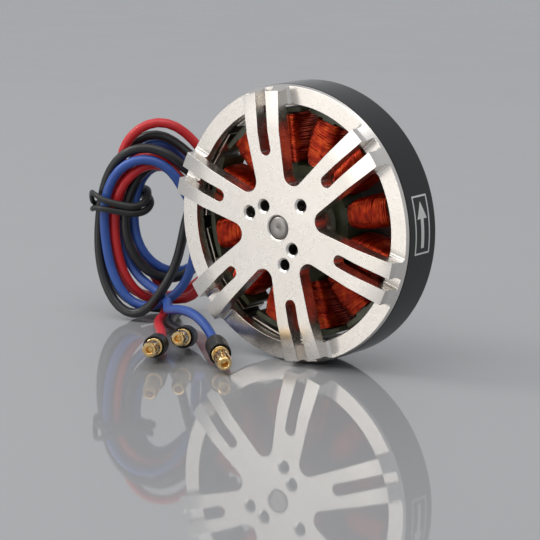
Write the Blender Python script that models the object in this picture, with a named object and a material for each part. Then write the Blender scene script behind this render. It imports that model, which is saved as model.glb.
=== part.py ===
"""Brushless outrunner motor, 63 mm across and 22.7 mm long, 12 slots and 14 poles, with three coiled silicone leads
that end in bullet connectors.

It stands on the rim of its rotor. The shaft runs along Y with the spoked front of the bell towards -Y, X is to the
right seen from the front, and the floor is z = 0. Dimensions are in millimetres and are turned into metres by MM.
"""

import math

import bmesh
import bpy
import numpy as np
from mathutils import Vector

MM = 0.001

# Driving dimensions
OUTER_R = 31.5            # outside of the flux ring and of the bell
AXIS_Z = OUTER_R          # height of the shaft: the motor stands on its rim
FRONT, REAR = -11.35, 11.35
SHOULDER = -5.48          # where the aluminium bell ends and the steel flux ring begins
RING_REAR = 4.5
RING_IN = 29.0            # inside of the flux ring
BELL_BORE = 27.17         # inside of the bell's rim
FLAT_R = 21.8             # the flat front of the spokes ends here and a shallow cone follows
TIP_R, TIP_Y, TIP_BACK = 30.4, -10.05, -8.0
POCKET_Y = -6.38          # floor that the milled windows leave on the bell's rim
PLATE_BACK = -7.75
BOSS_R, BOSS_BACK = 10.5, -4.1
SPOKES, SPOKE_PHASE = 6, 41.5
SPOKE_HALF, SPOKE_AT, SPOKE_TAPER = 4.0, 11.6, 0.0572   # half width at that radius, and its growth per millimetre
WINDOW_TIP_R = 2.5
SLOT_HALF, SLOT_START = 1.38, 17.66
SHAFT_R, SHAFT_END = 2.5, 11.1
POLES, MAGNET_IN, MAGNET_OUT = 14, 26.5, 28.85
MAGNET_Y, MAGNET_HALF, MAGNET_PHASE = (-3.41, 4.39), 4.65, 18.6
TEETH, TOOTH_PHASE, TOOTH_HALF = 12, 12.5, 1.7
STACK_Y = (-2.74, 5.26)
CORE_R, TIP_IN, YOKE_R, CORE_BORE = 26.1, 24.8, 12.9, 8.3
COIL_Y = (-4.25, 6.76)
COIL_R = (13.4, 24.5)
TUBE_R, PLATE_R, PLATE_Y = 8.0, 26.0, 8.35
BEARING_R, BEARING_W, BEARING_Y = 6.5, 4.0, (-3.0, 5.7)
HUB_HOLES = ((8.4, 161.5), (8.4, 41.5), (8.4, -78.5), (6.0, 131.2), (6.0, -48.8))
HOLE_R, SINK_R = 1.25, 2.15
GRUB_Y, GRUB_ANGLES = -5.9, (101.5, -18.5)
LEAD_R = 1.15
SLEEVE_R, SLEEVE_L = 2.55, 9.0
PLUG_R, PLUG_L = 1.75, 17.0

# Colours as base colour, metallic, roughness
LOOKS = {
    "aluminium": ((0.80, 0.78, 0.74), 1.0, 0.34),
    "black_steel": ((0.02, 0.02, 0.022), 0.3, 0.15),
    "nickel": ((0.62, 0.60, 0.56), 1.0, 0.25),
    "steel": ((0.50, 0.50, 0.50), 1.0, 0.25),
    "bearing_steel": ((0.60, 0.60, 0.61), 1.0, 0.2),
    "green_coating": ((0.055, 0.075, 0.03), 0.0, 0.4),
    "enamelled_copper": ((0.42, 0.085, 0.02), 0.6, 0.3),
    "red_silicone": ((0.60, 0.02, 0.03), 0.0, 0.4),
    "black_silicone": ((0.012, 0.012, 0.013), 0.0, 0.4),
    "blue_silicone": ((0.02, 0.07, 0.35), 0.0, 0.4),
    "gold": ((0.90, 0.62, 0.28), 1.0, 0.2),
    "shrink": ((0.012, 0.012, 0.012), 0.0, 0.5),
    "rubber": ((0.015, 0.015, 0.014), 0.0, 0.5),
}


def clear():
    for thing in list(bpy.data.objects):
        bpy.data.objects.remove(thing, do_unlink=True)


def material(name):
    found = bpy.data.materials.get(name)
    if found:
        return found
    colour, metallic, roughness = LOOKS[name]
    made = bpy.data.materials.new(name)
    made.use_nodes = True
    shader = made.node_tree.nodes["Principled BSDF"]
    shader.inputs["Base Color"].default_value = (*colour, 1.0)
    shader.inputs["Metallic"].default_value = metallic
    shader.inputs["Roughness"].default_value = roughness
    made.diffuse_color = (*colour, 1.0)
    return made


def add(name, verts, faces, look=None):
    """An object from points in millimetres, with its normals turned outwards."""
    mesh = bpy.data.meshes.new(name)
    mesh.from_pydata([tuple(v) for v in verts], [], faces)
    work = bmesh.new()
    work.from_mesh(mesh)
    bmesh.ops.recalc_face_normals(work, faces=work.faces)
    work.to_mesh(mesh)
    work.free()
    obj = bpy.data.objects.new(name, mesh)
    bpy.context.scene.collection.objects.link(obj)
    if look:
        mesh.materials.append(material(look))
    else:
        obj.hide_render = True
    return obj


def on_axis(r, degrees, y):
    a = math.radians(degrees)
    return (r * math.cos(a), y, AXIS_Z + r * math.sin(a))


def lathe(name, profile, steps, look=None, phase=0.0):
    """Turns a closed profile of (radius, y) pairs about the shaft."""
    n = len(profile)
    verts = [on_axis(r, phase + 360.0 * k / steps, y) for k in range(steps) for r, y in profile]
    faces = []
    for k in range(steps):
        a, b = k * n, (k + 1) % steps * n
        faces += [(a + i, a + (i + 1) % n, b + (i + 1) % n, b + i) for i in range(n)]
    return add(name, verts, faces, look)


def disc(name, profile, steps, look=None):
    """Turns an open profile whose two ends lie on the shaft's axis."""
    inner = profile[1:-1]
    n = len(inner)
    verts = [on_axis(r, 360.0 * k / steps, y) for k in range(steps) for r, y in inner]
    first, last = len(verts), len(verts) + 1
    verts += [(0.0, profile[0][1], AXIS_Z), (0.0, profile[-1][1], AXIS_Z)]
    faces = []
    for k in range(steps):
        a, b = k * n, (k + 1) % steps * n
        faces += [(a + i, a + i + 1, b + i + 1, b + i) for i in range(n - 1)]
        faces += [(first, a, b), (last, b + n - 1, a + n - 1)]
    return add(name, verts, faces, look)


def prism(name, outline, y0, y1, look=None):
    """A flat outline of (x, z about the shaft) pairs, pulled out along Y."""
    n = len(outline)
    verts = [(x, y0, AXIS_Z + z) for x, z in outline] + [(x, y1, AXIS_Z + z) for x, z in outline]
    faces = [tuple(range(n)), tuple(reversed(range(n, 2 * n)))]
    faces += [(i, (i + 1) % n, (i + 1) % n + n, i + n) for i in range(n)]
    return add(name, verts, faces, look)


def turned(points, degrees):
    c, s = math.cos(math.radians(degrees)), math.sin(math.radians(degrees))
    return [(x * c - z * s, x * s + z * c) for x, z in points]


def arc(cx, cz, r, start, end, steps):
    angles = [math.radians(start + (end - start) * i / steps) for i in range(steps + 1)]
    return [(cx + r * math.cos(a), cz + r * math.sin(a)) for a in angles]


def rod(name, start, end, r, steps, look=None):
    """A round bar between two points."""
    a, b = Vector(start), Vector(end)
    turn = (b - a).to_track_quat("Z", "X").to_matrix()
    verts = []
    for centre in (a, b):
        for k in range(steps):
            t = 2 * math.pi * k / steps
            verts.append(tuple(centre + turn @ Vector((r * math.cos(t), r * math.sin(t), 0.0))))
    faces = [tuple(range(steps)), tuple(reversed(range(steps, 2 * steps)))]
    faces += [(i, (i + 1) % steps, (i + 1) % steps + steps, i + steps) for i in range(steps)]
    return add(name, verts, faces, look)


def along(name, profile, steps, start, direction, look=None):
    """Turns a profile of (radius, distance) pairs about a line; a closed tube unless its ends lie on the line."""
    turn = Vector(direction).to_track_quat("Z", "X").to_matrix()
    solid = profile[0][0] == 0.0
    inner = profile[1:-1] if solid else profile
    n = len(inner)
    verts = []
    for k in range(steps):
        t = 2 * math.pi * k / steps
        for r, d in inner:
            verts.append(tuple(Vector(start) + turn @ Vector((r * math.cos(t), r * math.sin(t), d))))
    faces = []
    for k in range(steps):
        a, b = k * n, (k + 1) % steps * n
        span = n - 1 if solid else n
        faces += [(a + i, a + (i + 1) % n, b + (i + 1) % n, b + i) for i in range(span)]
    if solid:
        first, last = len(verts), len(verts) + 1
        verts += [tuple(Vector(start) + turn @ Vector((0, 0, profile[i][1]))) for i in (0, -1)]
        for k in range(steps):
            a, b = k * n, (k + 1) % steps * n
            faces += [(first, a, b), (last, b + n - 1, a + n - 1)]
    return add(name, verts, faces, look)


def cut(target, cutters, operation="DIFFERENCE"):
    """Applies each cutter in turn and removes it. Shapes are still in millimetres here."""
    for cutter in cutters:
        step = target.modifiers.new("cut", "BOOLEAN")
        step.operation = operation
        step.solver = "EXACT"
        step.object = cutter
        bpy.context.view_layer.update()
        graph = bpy.context.evaluated_depsgraph_get()
        result = bpy.data.meshes.new_from_object(target.evaluated_get(graph))
        target.modifiers.clear()
        target.data = result
        bpy.data.objects.remove(cutter, do_unlink=True)
    return target


def spoke_half(r):
    """Half the width of a forked spoke at this radius."""
    return SPOKE_HALF + (r - SPOKE_AT) * SPOKE_TAPER


def build_bell():
    """The bell: a turned hub, plate and rim, with six windows and six fork slots milled down to the rim's floor."""
    body = lathe(
        "rotor_bell",
        [
            (2.62, FRONT + 0.25),
            (2.85, FRONT),
            (FLAT_R, FRONT),
            (TIP_R, TIP_Y),
            (TIP_R, TIP_BACK),
            (OUTER_R, SHOULDER - 0.15),
            (28.7, SHOULDER - 0.15),
            (28.7, -3.95),
            (BELL_BORE, -3.95),
            (BELL_BORE, PLATE_BACK),
            (BOSS_R, PLATE_BACK),
            (BOSS_R, BOSS_BACK),
            (2.62, BOSS_BACK),
        ],
        72,
        "aluminium",
    )
    # A window's two flanks meet at this angle from its middle line, and its round tip touches both
    lean = math.atan(SPOKE_TAPER)
    flank = math.radians(30.0) - lean
    tip_c = (WINDOW_TIP_R + spoke_half(0.0) * math.cos(lean)) / math.sin(flank)
    tip_turn = 90.0 + math.degrees(flank)
    far = 34.0
    cutters = []
    for k in range(SPOKES):
        centre = SPOKE_PHASE + 60.0 * k
        side = turned([(far, spoke_half(far))], -30.0)[0]
        tip = arc(tip_c, 0.0, WINDOW_TIP_R, tip_turn, 360.0 - tip_turn, 10)
        outline = [(side[0], -abs(side[1])), (side[0], abs(side[1]))] + tip
        cutters.append(prism("window", turned(outline, centre + 30.0), -14.0, POCKET_Y))
        slot = [(36.0, -SLOT_HALF), (36.0, SLOT_HALF)] + arc(SLOT_START, 0.0, SLOT_HALF, 90.0, 270.0, 8)
        cutters.append(prism("slot", turned(slot, centre), -14.0, POCKET_Y))
    for r, degrees in HUB_HOLES:
        x, y, z = on_axis(r, degrees, 0.0)
        cutters.append(rod("hole", (x, -14.0, z), (x, 0.0, z), HOLE_R, 16))
        sink = [(0.0, 0.0), (SINK_R, 0.0), (HOLE_R, 0.8), (0.0, 0.8)]
        cutters.append(along("sink", sink, 16, (x, FRONT - 0.42, z), (0, 1, 0)))
    for degrees in GRUB_ANGLES:
        cutters.append(rod("grub_hole", on_axis(1.0, degrees, GRUB_Y), on_axis(12.0, degrees, GRUB_Y), 1.5, 16))
    return cut(body, cutters)


def build_rotor():
    build_bell()
    c = 0.25
    lathe(
        "flux_ring",
        [
            (RING_IN, SHOULDER),
            (OUTER_R - c, SHOULDER),
            (OUTER_R, SHOULDER + c),
            (OUTER_R, RING_REAR - c),
            (OUTER_R - c, RING_REAR),
            (RING_IN, RING_REAR),
        ],
        72,
        "black_steel",
    )
    reach = math.degrees(math.asin(MAGNET_HALF / MAGNET_OUT))
    block = [(MAGNET_IN, -MAGNET_HALF), (MAGNET_IN, MAGNET_HALF)]
    block += reversed(arc(0.0, 0.0, MAGNET_OUT, -reach, reach, 6))
    for k in range(POLES):
        magnet = prism(f"magnet_{k + 1:02d}", block, *MAGNET_Y, "nickel")
        magnet.rotation_euler.y = -math.radians(MAGNET_PHASE + 360.0 * k / POLES)
    disc(
        "shaft",
        [
            (0.0, FRONT + 0.02),
            (SHAFT_R - 0.32, FRONT + 0.02),
            (SHAFT_R, FRONT + 0.34),
            (SHAFT_R, 10.15),
            (2.05, 10.15),
            (2.05, 10.75),
            (SHAFT_R, 10.75),
            (SHAFT_R - 0.2, SHAFT_END),
            (0.0, SHAFT_END),
        ],
        32,
        "steel",
    )
    lathe("shim", [(2.65, -3.93), (3.7, -3.93), (3.7, -3.2), (2.65, -3.2)], 32, "steel")
    ring = arc(0.0, 0.0, 4.1, 25.0, 335.0, 24) + list(reversed(arc(0.0, 0.0, 2.25, 25.0, 335.0, 24)))
    prism("circlip", turned(ring, 90.0), 10.22, 10.68, "steel")
    length, socket = 4.2, 0.75
    screw = [(0.0, 0.0), (0.85, 0.0), (1.35, 0.4), (1.35, length - 0.2), (1.2, length), (socket, length)]
    screw += [(socket, length - 1.6), (0.0, length - 1.6)]
    for k, degrees in enumerate(GRUB_ANGLES):
        start = Vector(on_axis(3.0, degrees, GRUB_Y))
        along(f"grub_screw_{k + 1}", screw, 16, start, start - Vector((0.0, GRUB_Y, AXIS_Z)), "steel")


def build_bearing(which, y0):
    """A deep-groove ball bearing: two races, and a cage that carries seven balls."""
    y1 = y0 + BEARING_W
    c = 0.2
    outer = [(5.6, y0), (BEARING_R - c, y0), (BEARING_R, y0 + c), (BEARING_R, y1 - c), (BEARING_R - c, y1), (5.6, y1)]
    inner = [(2.65, y0), (3.45, y0), (3.45, y1), (2.65, y1)]
    lathe(f"bearing_{which}_outer_race", outer, 28, "bearing_steel")
    lathe(f"bearing_{which}_inner_race", inner, 28, "bearing_steel")
    mid, pitch, ball = (y0 + y1) / 2, 4.52, 0.92
    ring = [(4.15, mid + 0.25), (4.9, mid + 0.25), (4.9, mid + 1.35), (4.15, mid + 1.35)]
    cage = lathe(f"bearing_{which}_cage", ring, 21, "bearing_steel")
    slices = [math.pi * i / 5 for i in range(1, 5)]
    rings = [(0.0, -ball)] + [(ball * math.sin(t), -ball * math.cos(t)) for t in slices] + [(0.0, ball)]
    centres = [Vector(on_axis(pitch, 360.0 * (k + 0.5) / 7, mid)) for k in range(7)]
    return cut(cage, [along("ball", rings, 8, centre, (0, 1, 0)) for centre in centres], "UNION")


def build_core():
    """The laminated core: a yoke, twelve teeth and their wide tips, as one outline."""
    outline = []
    tip = math.degrees(math.asin(5.45 / CORE_R))
    for k in range(TEETH):
        centre = TOOTH_PHASE + 30.0 * k
        root = math.degrees(math.asin(TOOTH_HALF / YOKE_R))
        neck = math.degrees(math.asin(TOOTH_HALF / TIP_IN))
        points = [(YOKE_R, -15.0), (YOKE_R, -root), (TIP_IN, -neck), (TIP_IN + 0.35, -tip), (CORE_R, -tip)]
        points += [(CORE_R, tip * (i / 3 - 1)) for i in range(1, 6)]
        points += [(CORE_R, tip), (TIP_IN + 0.35, tip), (TIP_IN, neck), (YOKE_R, root)]
        for r, degrees in points:
            a = math.radians(centre + degrees)
            outline.append((r * math.cos(a), r * math.sin(a)))
    core = prism("stator_core", outline, *STACK_Y, "green_coating")
    bore = rod("bore", (0.0, -10.0, AXIS_Z), (0.0, 12.0, AXIS_Z), CORE_BORE, 48)
    return cut(core, [bore])


def build_coil(number, degrees):
    """One winding: a thick-walled loop round its tooth, narrow at the yoke and wide at the tip, with arched ends."""
    stations = ((COIL_R[0], 2.85), (15.5, 3.4), (19.0, 3.7), (COIL_R[1], 3.75))
    verts, faces = [], []
    y0, y1 = COIL_Y
    mid, half = (y0 + y1) / 2, (y1 - y0) / 2
    hole_x, hole_y = TOOTH_HALF + 0.15, (STACK_Y[1] - STACK_Y[0]) / 2 + 0.15
    core_mid = (STACK_Y[0] + STACK_Y[1]) / 2
    n = 16
    for r, width in stations:
        arch = half - (0.35 if r in (COIL_R[0], COIL_R[1]) else 0.0)
        for k in range(n):
            t = 2 * math.pi * k / n
            c, s = math.cos(t), math.sin(t)
            power = 2.0 / 5.0
            across = width * math.copysign(abs(c) ** power, c)
            verts.append((r, across, mid + arch * math.copysign(abs(s) ** power, s)))
        for k in range(n):
            t = 2 * math.pi * k / n
            c, s = math.cos(t), math.sin(t)
            scale = 1.0 / max(abs(c), abs(s))
            verts.append((r, hole_x * c * scale, core_mid + hole_y * s * scale))
    for j in range(len(stations) - 1):
        a, b = j * 2 * n, (j + 1) * 2 * n
        for k in range(n):
            m = (k + 1) % n
            faces.append((a + k, a + m, b + m, b + k))
            faces.append((a + n + m, a + n + k, b + n + k, b + n + m))
    last = (len(stations) - 1) * 2 * n
    for k in range(n):
        m = (k + 1) % n
        faces.append((k, n + k, n + m, m))
        faces.append((last + k, last + m, last + n + m, last + n + k))
    coil = add(f"coil_{number:02d}", [(r, y, AXIS_Z + t) for r, t, y in verts], faces, "enamelled_copper")
    coil.rotation_euler.y = -math.radians(degrees)
    return coil


def build_stator():
    base = lathe(
        "stator_base",
        [
            (6.65, -3.0),
            (6.95, -3.2),
            (TUBE_R, -3.2),
            (TUBE_R, 5.56),
            (10.0, 5.56),
            (10.0, PLATE_Y),
            (PLATE_R, PLATE_Y),
            (PLATE_R, REAR - 0.4),
            (PLATE_R - 0.4, REAR),
            (6.65, REAR),
            (6.65, 5.55),
            (5.7, 5.55),
            (5.7, 1.15),
            (6.65, 1.15),
        ],
        52,
        "aluminium",
        2.1,
    )
    # The leads' window is open through the rim, where the grommet sits
    gate = math.degrees(math.asin(5.2 / 18.4))
    outline = arc(0.0, 0.0, 18.4, -29.0, -gate, 3) + [(30.0, -5.2), (30.0, 5.2)]
    outline += arc(0.0, 0.0, 18.4, gate, 29.0, 3) + list(reversed(arc(0.0, 0.0, 12.4, -27.0, 27.0, 8)))
    cutters = [prism("window", turned(outline, 180.37), 7.03, 14.0)]
    for k in range(4):
        x, y, z = on_axis(12.5, 45.0 + 90.0 * k, 0.0)
        cutters.append(rod("hole", (x, 3.0, z), (x, 14.0, z), HOLE_R, 16))
    cut(base, cutters)
    build_core()
    for k in range(TEETH):
        build_coil(k + 1, TOOTH_PHASE + 30.0 * k)
    block = [(-21.2, -4.8), (-18.0, -4.8), (-18.0, 4.8), (-21.2, 4.8)]
    grommet = prism("lead_grommet", block, 7.4, 10.6, "rubber")
    heights = [AXIS_Z + z for z in EXITS]
    cut(grommet, [rod("hole", (-26.0, 9.0, z), (-14.0, 9.0, z), 1.3, 12) for z in heights])
    for which, y0 in zip(("front", "rear"), BEARING_Y):
        build_bearing(which, y0)


# The three leads leave through the grommet, are wound into a loop that stands on its edge beside the motor, and end
# in plugs that lie on the floor in front. The loop is laid out in a frame of its own: u to the right along the
# loop's face, w up, and d through the loop from front to back.
LOOP_TURN = math.radians(37.57)
LOOP_AT = Vector((-59.85, 8.11, 0.0))
LOOP_U = Vector((math.cos(LOOP_TURN), math.sin(LOOP_TURN), 0.0))
LOOP_D = Vector((-math.sin(LOOP_TURN), math.cos(LOOP_TURN), 0.0))
EXITS = (2.9, 0.0, -2.9)

RED_TURNS = (
    # inner turn
    (24.0, 32.0, -11.0), (19.4, 29.4, -5.2), (17.0, 29.3, -2.0), (15.0, 30.9, 0.2), (13.1, 32.4, 0.8), (11.4, 34.6, 0.8),
    (9.2, 37.4, 0.7), (6.5, 38.8, 0.6), (4.4, 38.3, 0.4), (2.4, 36.7, -0.2), (0.8, 35.7, -0.4), (-1.3, 33.2, -0.6), (-2.2, 31.2, -0.6),
    (-3.4, 26.6, -0.5), (-3.7, 21.0, -0.3),
    (-3.2, 15.0, -0.2), (-1.6, 10.0, -0.2), (1.4, 5.9, 0.2), (5.2, 3.6, 1.5), (9.2, 2.6, 2.5), (12.8, 2.5, 2.0),
    (15.4, 4.0, 1.0), (16.8, 7.2, 1.6), (17.8, 12.4, 4.6), (20.0, 18.4, 8.6), (19.8, 25.0, 9.4),
    # middle turn
    (17.8, 31.6, 7.0), (14.6, 35.0, 4.2), (11.0, 37.0, 2.7), (9.2, 38.5, 2.5), (7.3, 39.6, 2.2), (5.0, 39.9, 1.8),
    (1.8, 39.2, 1.6), (-1.4, 37.2, 1.9), (-3.6, 33.6, 2.4), (-4.6, 29.0, 2.6), (-4.9, 22.0, 2.5), (-4.2, 14.0, 2.2),
    (-1.8, 7.9, 2.0), (2.4, 4.6, 2.4),
    (8.0, 4.4, 4.6), (15.0, 7.6, 8.0), (20.6, 13.6, 10.4), (23.6, 21.0, 11.0), (23.2, 30.0, 9.0), (19.4, 37.0, 4.8),
    # outer turn
    (16.6, 41.4, 2.4), (14.9, 43.6, 2.2), (12.9, 45.8, 2.2), (10.4, 47.6, 2.3), (7.3, 48.2, 2.3), (3.7, 47.2, 2.2),
    (0.6, 44.7, 2.2), (-1.6, 41.2, 2.5), (-2.8, 38.0, 3.0), (-2.3, 34.8, 3.9), (-1.2, 31.2, 4.8), (-0.2, 27.2, 5.2),
    (0.7, 22.0, 4.8), (1.9, 17.4, 4.2),
    (3.8, 12.8, 3.6), (6.3, 9.4, 2.0), (8.0, 7.0, -0.1), (8.6, 4.4, -1.8), (7.4, 1.8, -3.3),
)
BLACK_TURNS = (
    (24.0, 29.6, -12.0), (19.4, 26.6, -5.0), (17.5, 27.4, -0.4), (15.9, 30.0, 3.0), (13.7, 32.8, 4.4), (11.6, 34.8, 4.9),
    (9.4, 37.4, 4.9), (7.2, 38.4, 4.0), (4.8, 37.4, 2.6), (2.4, 35.3, 1.5), (0.9, 33.0, 1.0), (-0.6, 29.8, 0.7), (-1.2, 25.9, 0.3),
    (-1.1, 21.1, -0.3), (-0.2, 17.0, -0.8),
    (1.5, 13.6, -0.9), (4.0, 11.0, -0.9), (6.6, 9.6, -0.6), (9.8, 9.2, 0.4), (14.0, 11.0, 3.0), (17.8, 15.5, 5.2),
    (20.2, 21.5, 6.0), (20.6, 27.6, 3.8),
    (18.6, 31.6, 1.4), (15.8, 33.9, -0.7), (13.4, 35.9, -1.8), (11.7, 37.8, -2.2), (9.7, 39.7, -2.2), (7.3, 41.0, -2.0),
    (4.9, 41.7, -1.8), (2.5, 41.6, -1.5), (0.0, 40.9, -0.9), (-1.9, 39.6, 0.0), (-3.9, 37.1, 0.9), (-5.4, 33.7, 1.2),
    (-6.5, 30.0, 1.2), (-7.1, 26.0, 1.2), (-7.6, 21.0, 1.0),
    (-7.5, 15.6, 0.6), (-6.5, 9.8, -0.8), (-4.3, 3.8, -3.0), (-0.9, 0.3, -4.8), (2.2, 0.2, -6.3), (5.4, 3.3, -7.6),
    (8.2, 7.2, -7.4), (10.7, 12.1, -5.6), (12.2, 17.2, -4.4), (13.0, 22.1, -4.0), (14.1, 27.2, -3.8),
    (16.2, 32.0, -4.4), (18.6, 35.2, -1.0), (16.6, 37.8, 2.4), (13.5, 39.7, 3.6), (11.8, 42.0, 3.8), (9.7, 44.3, 3.9), (7.3, 45.4, 4.0),
    (4.9, 45.1, 4.2), (2.5, 44.0, 4.6), (0.4, 42.0, 5.0), (-1.8, 39.2, 5.4), (-3.8, 36.0, 5.2), (-5.4, 31.6, 4.4),
    (-6.4, 25.0, 3.6), (-6.4, 18.0, 3.0),
    (-5.0, 10.4, 2.2), (-2.2, 5.4, 2.6), (2.2, 2.8, 3.4), (6.6, 1.8, 3.8), (10.4, 1.8, 2.2), (11.6, 1.9, -0.8),
)
BLUE_TURNS = (
    (24.0, 27.2, -13.0), (21.2, 24.0, -6.6), (19.8, 25.0, -1.0), (18.4, 27.4, 2.4), (16.4, 30.4, 5.4), (13.7, 32.8, 7.0),
    (11.6, 34.9, 7.3), (9.4, 37.4, 7.3), (7.2, 38.3, 6.5), (5.8, 37.6, 5.6), (4.3, 36.2, 4.6), (3.1, 34.4, 3.8), (2.2, 32.9, 3.2), (1.5, 31.2, 2.7),
    (0.8, 28.0, 2.2), (0.6, 25.5, 1.8), (0.9, 21.3, 1.2), (2.1, 17.4, 0.9),
    (4.3, 14.0, 0.9), (6.9, 11.8, 1.2), (10.0, 10.8, 2.4), (14.0, 11.6, 5.4), (18.2, 14.6, 7.4), (19.2, 19.0, 6.6),
    (18.0, 23.2, 3.6),
    (16.4, 26.0, 0.8), (14.7, 28.8, -1.2), (13.2, 31.6, -1.9), (11.8, 34.2, -2.0), (10.0, 36.6, -2.0), (7.4, 38.3, -2.0),
    (4.8, 39.0, -1.9), (2.4, 39.0, -1.9), (-0.5, 38.1, -1.7), (-2.9, 36.4, -1.4), (-4.5, 33.7, -1.2), (-5.5, 30.5, -1.2),
    (-6.0, 25.5, -1.2), (-6.0, 19.6, -1.2), (-5.2, 13.6, -1.4),
    (-3.3, 7.8, -1.9), (0.0, 3.5, -2.6), (3.4, 1.7, -3.4), (6.6, 1.8, -3.4), (9.6, 4.0, -2.6), (13.0, 8.5, -1.4),
    (15.4, 14.4, 0.6), (15.6, 20.4, 3.0), (15.2, 26.0, 6.6),
    (14.6, 30.0, 8.8), (14.8, 34.0, 8.8), (13.6, 37.0, 7.0), (11.9, 39.5, 5.9), (10.6, 41.5, 5.7), (9.1, 42.9, 5.6), (7.3, 43.5, 5.6),
    (5.4, 43.3, 5.8), (3.7, 42.3, 6.2), (1.6, 40.0, 6.8), (-0.6, 36.0, 7.0), (-2.2, 30.6, 6.2), (-2.8, 24.0, 4.2),
    (-2.1, 17.6, 2.6), (-0.7, 13.6, 1.8), (1.4, 10.2, 0.8),
    (3.9, 7.8, -1.0), (6.5, 6.0, -3.8), (9.4, 4.4, -5.4),
)
# Each lead: turns, points along its tail, tip of its plug, and the plug's heading: degrees right of -Y, and rise
LEADS = {
    "red": (RED_TURNS, ((-45.6, 1.2, 1.6), (-40.0, -4.6, 2.0), (-34.8, -10.2, 2.5)), (-19.1, -33.3, 5.0), (32.7, 0.14)),
    "black": (BLACK_TURNS, ((-42.6, 1.8, 1.9), (-37.4, -3.2, 2.4)), (-18.8, -23.7, 5.85), (31.4, 0.185)),
    "blue": (BLUE_TURNS, ((-42.8, 0.6, 5.0), (-34.4, -3.6, 7.2), (-25.6, -7.2, 6.6)), (-3.3, -26.2, 2.75), (46.0, -0.05)),
}


def in_loop(u, w, d):
    """A point of the loop. Planes further back are spread about a viewpoint 598 mm in front, at u 34, w 132."""
    k = d / 598.0
    return LOOP_AT + LOOP_U * (u + (u - 34.0) * k) + LOOP_D * d + Vector((0, 0, w - (132.0 - w) * k))


def heading(degrees, rise):
    a = math.radians(degrees)
    return Vector((math.sin(a), -math.cos(a), rise)).normalized()


def even(points, step):
    """The same path with evenly spaced points."""
    runs = np.r_[0.0, np.cumsum(np.linalg.norm(np.diff(points, axis=0), axis=1))]
    count = max(2, int(round(runs[-1] / step)) + 1)
    at = np.linspace(0.0, runs[-1], count)
    return np.stack([np.interp(at, runs, points[:, i]) for i in range(3)], axis=1)


def fitted(points, count):
    """The same path with this many points, closer together where it bends."""
    fine = even(points, 0.5)
    ahead = np.diff(fine, axis=0)
    ahead /= np.linalg.norm(ahead, axis=1)[:, None]
    turn = np.linalg.norm(np.diff(ahead, axis=0), axis=1) / 0.5
    weight = np.convolve(np.r_[turn[0], turn, turn[-1]], np.ones(9) / 9, "same")[: len(fine) - 1]
    runs = np.r_[0.0, np.cumsum(1.0 + 9.0 * weight)]
    at = np.linspace(0.0, runs[-1], count)
    return np.stack([np.interp(at, runs, fine[:, i]) for i in range(3)], axis=1)


def smooth_path(points, step):
    """A Catmull-Rom curve with centripetal spacing through the points."""
    p = np.array([tuple(q) for q in points], float)
    p = np.vstack([2 * p[0] - p[1], p, 2 * p[-1] - p[-2]])
    out = []
    for i in range(1, len(p) - 2):
        a, b, c, d = p[i - 1 : i + 3]
        t1 = np.linalg.norm(b - a) ** 0.5
        t2 = t1 + np.linalg.norm(c - b) ** 0.5
        t3 = t2 + np.linalg.norm(d - c) ** 0.5
        t = np.linspace(t1, t2, 24, endpoint=False)[:, None]
        a1 = (t1 - t) / t1 * a + t / t1 * b
        a2 = (t2 - t) / (t2 - t1) * b + (t - t1) / (t2 - t1) * c
        a3 = (t3 - t) / (t3 - t2) * c + (t - t2) / (t3 - t2) * d
        b1 = (t2 - t) / t2 * a1 + t / t2 * a2
        b2 = (t3 - t) / (t3 - t1) * a2 + (t - t1) / (t3 - t1) * a3
        out.append((t2 - t) / (t2 - t1) * b1 + (t - t1) / (t2 - t1) * b2)
    out.append(p[-2][None])
    return even(np.vstack(out), step)


def settle(paths, step, gap=2.72, floor=1.35):
    """Moves the leads apart where they would run through each other, keeping them smooth and above the floor."""
    aims = [p.copy() for p in paths]
    for turn in range(700):
        last = turn >= 630
        points = np.vstack(paths)
        owner = np.concatenate([np.full(len(p), i) for i, p in enumerate(paths)])
        order = np.concatenate([np.arange(len(p)) for p in paths])
        away = points[:, None] - points[None]
        far = np.linalg.norm(away, axis=2)
        far[(owner[:, None] == owner[None]) & (abs(order[:, None] - order[None]) * step < 9.0)] = 1e9
        reach = gap if last else gap + 0.1
        push = np.where(far < reach, (reach - far) / 2, 0.0)
        shift = (away / np.maximum(far, 1e-6)[..., None] * push[..., None]).sum(axis=1) * (0.35 if last else 0.5)
        at = 0
        for i, path in enumerate(paths):
            n = len(path)
            new = path + shift[at : at + n]
            at += n
            if not last:
                new += 0.008 * (aims[i] - path)
                bend = np.zeros_like(new)
                bend[2:-2] = (-new[:-4] + 4 * new[1:-3] - 6 * new[2:-2] + 4 * new[3:-1] - new[4:]) / 16
                new += 0.6 * bend
            new[:, 2] = np.maximum(new[:, 2], floor)
            keep = 3
            new[:keep], new[-keep:] = aims[i][:keep], aims[i][-keep:]
            paths[i] = new
    return paths


def lead_paths(step=2.5):
    paths = []
    for (turns, tail, tip, (degrees, rise)), z in zip(LEADS.values(), EXITS):
        out = heading(degrees, rise)
        base = Vector(tip) - out * PLUG_L
        points = [Vector((x, 9.0, AXIS_Z + z)) for x in (-15.5, -18.6, -22.6)]
        points += [in_loop(*turn) for turn in turns] + [Vector(q) for q in tail]
        points += [base - out * 3.0, base, base + out * 4.0]
        paths.append(smooth_path(points, step))
    return settle(paths, step)


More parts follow.
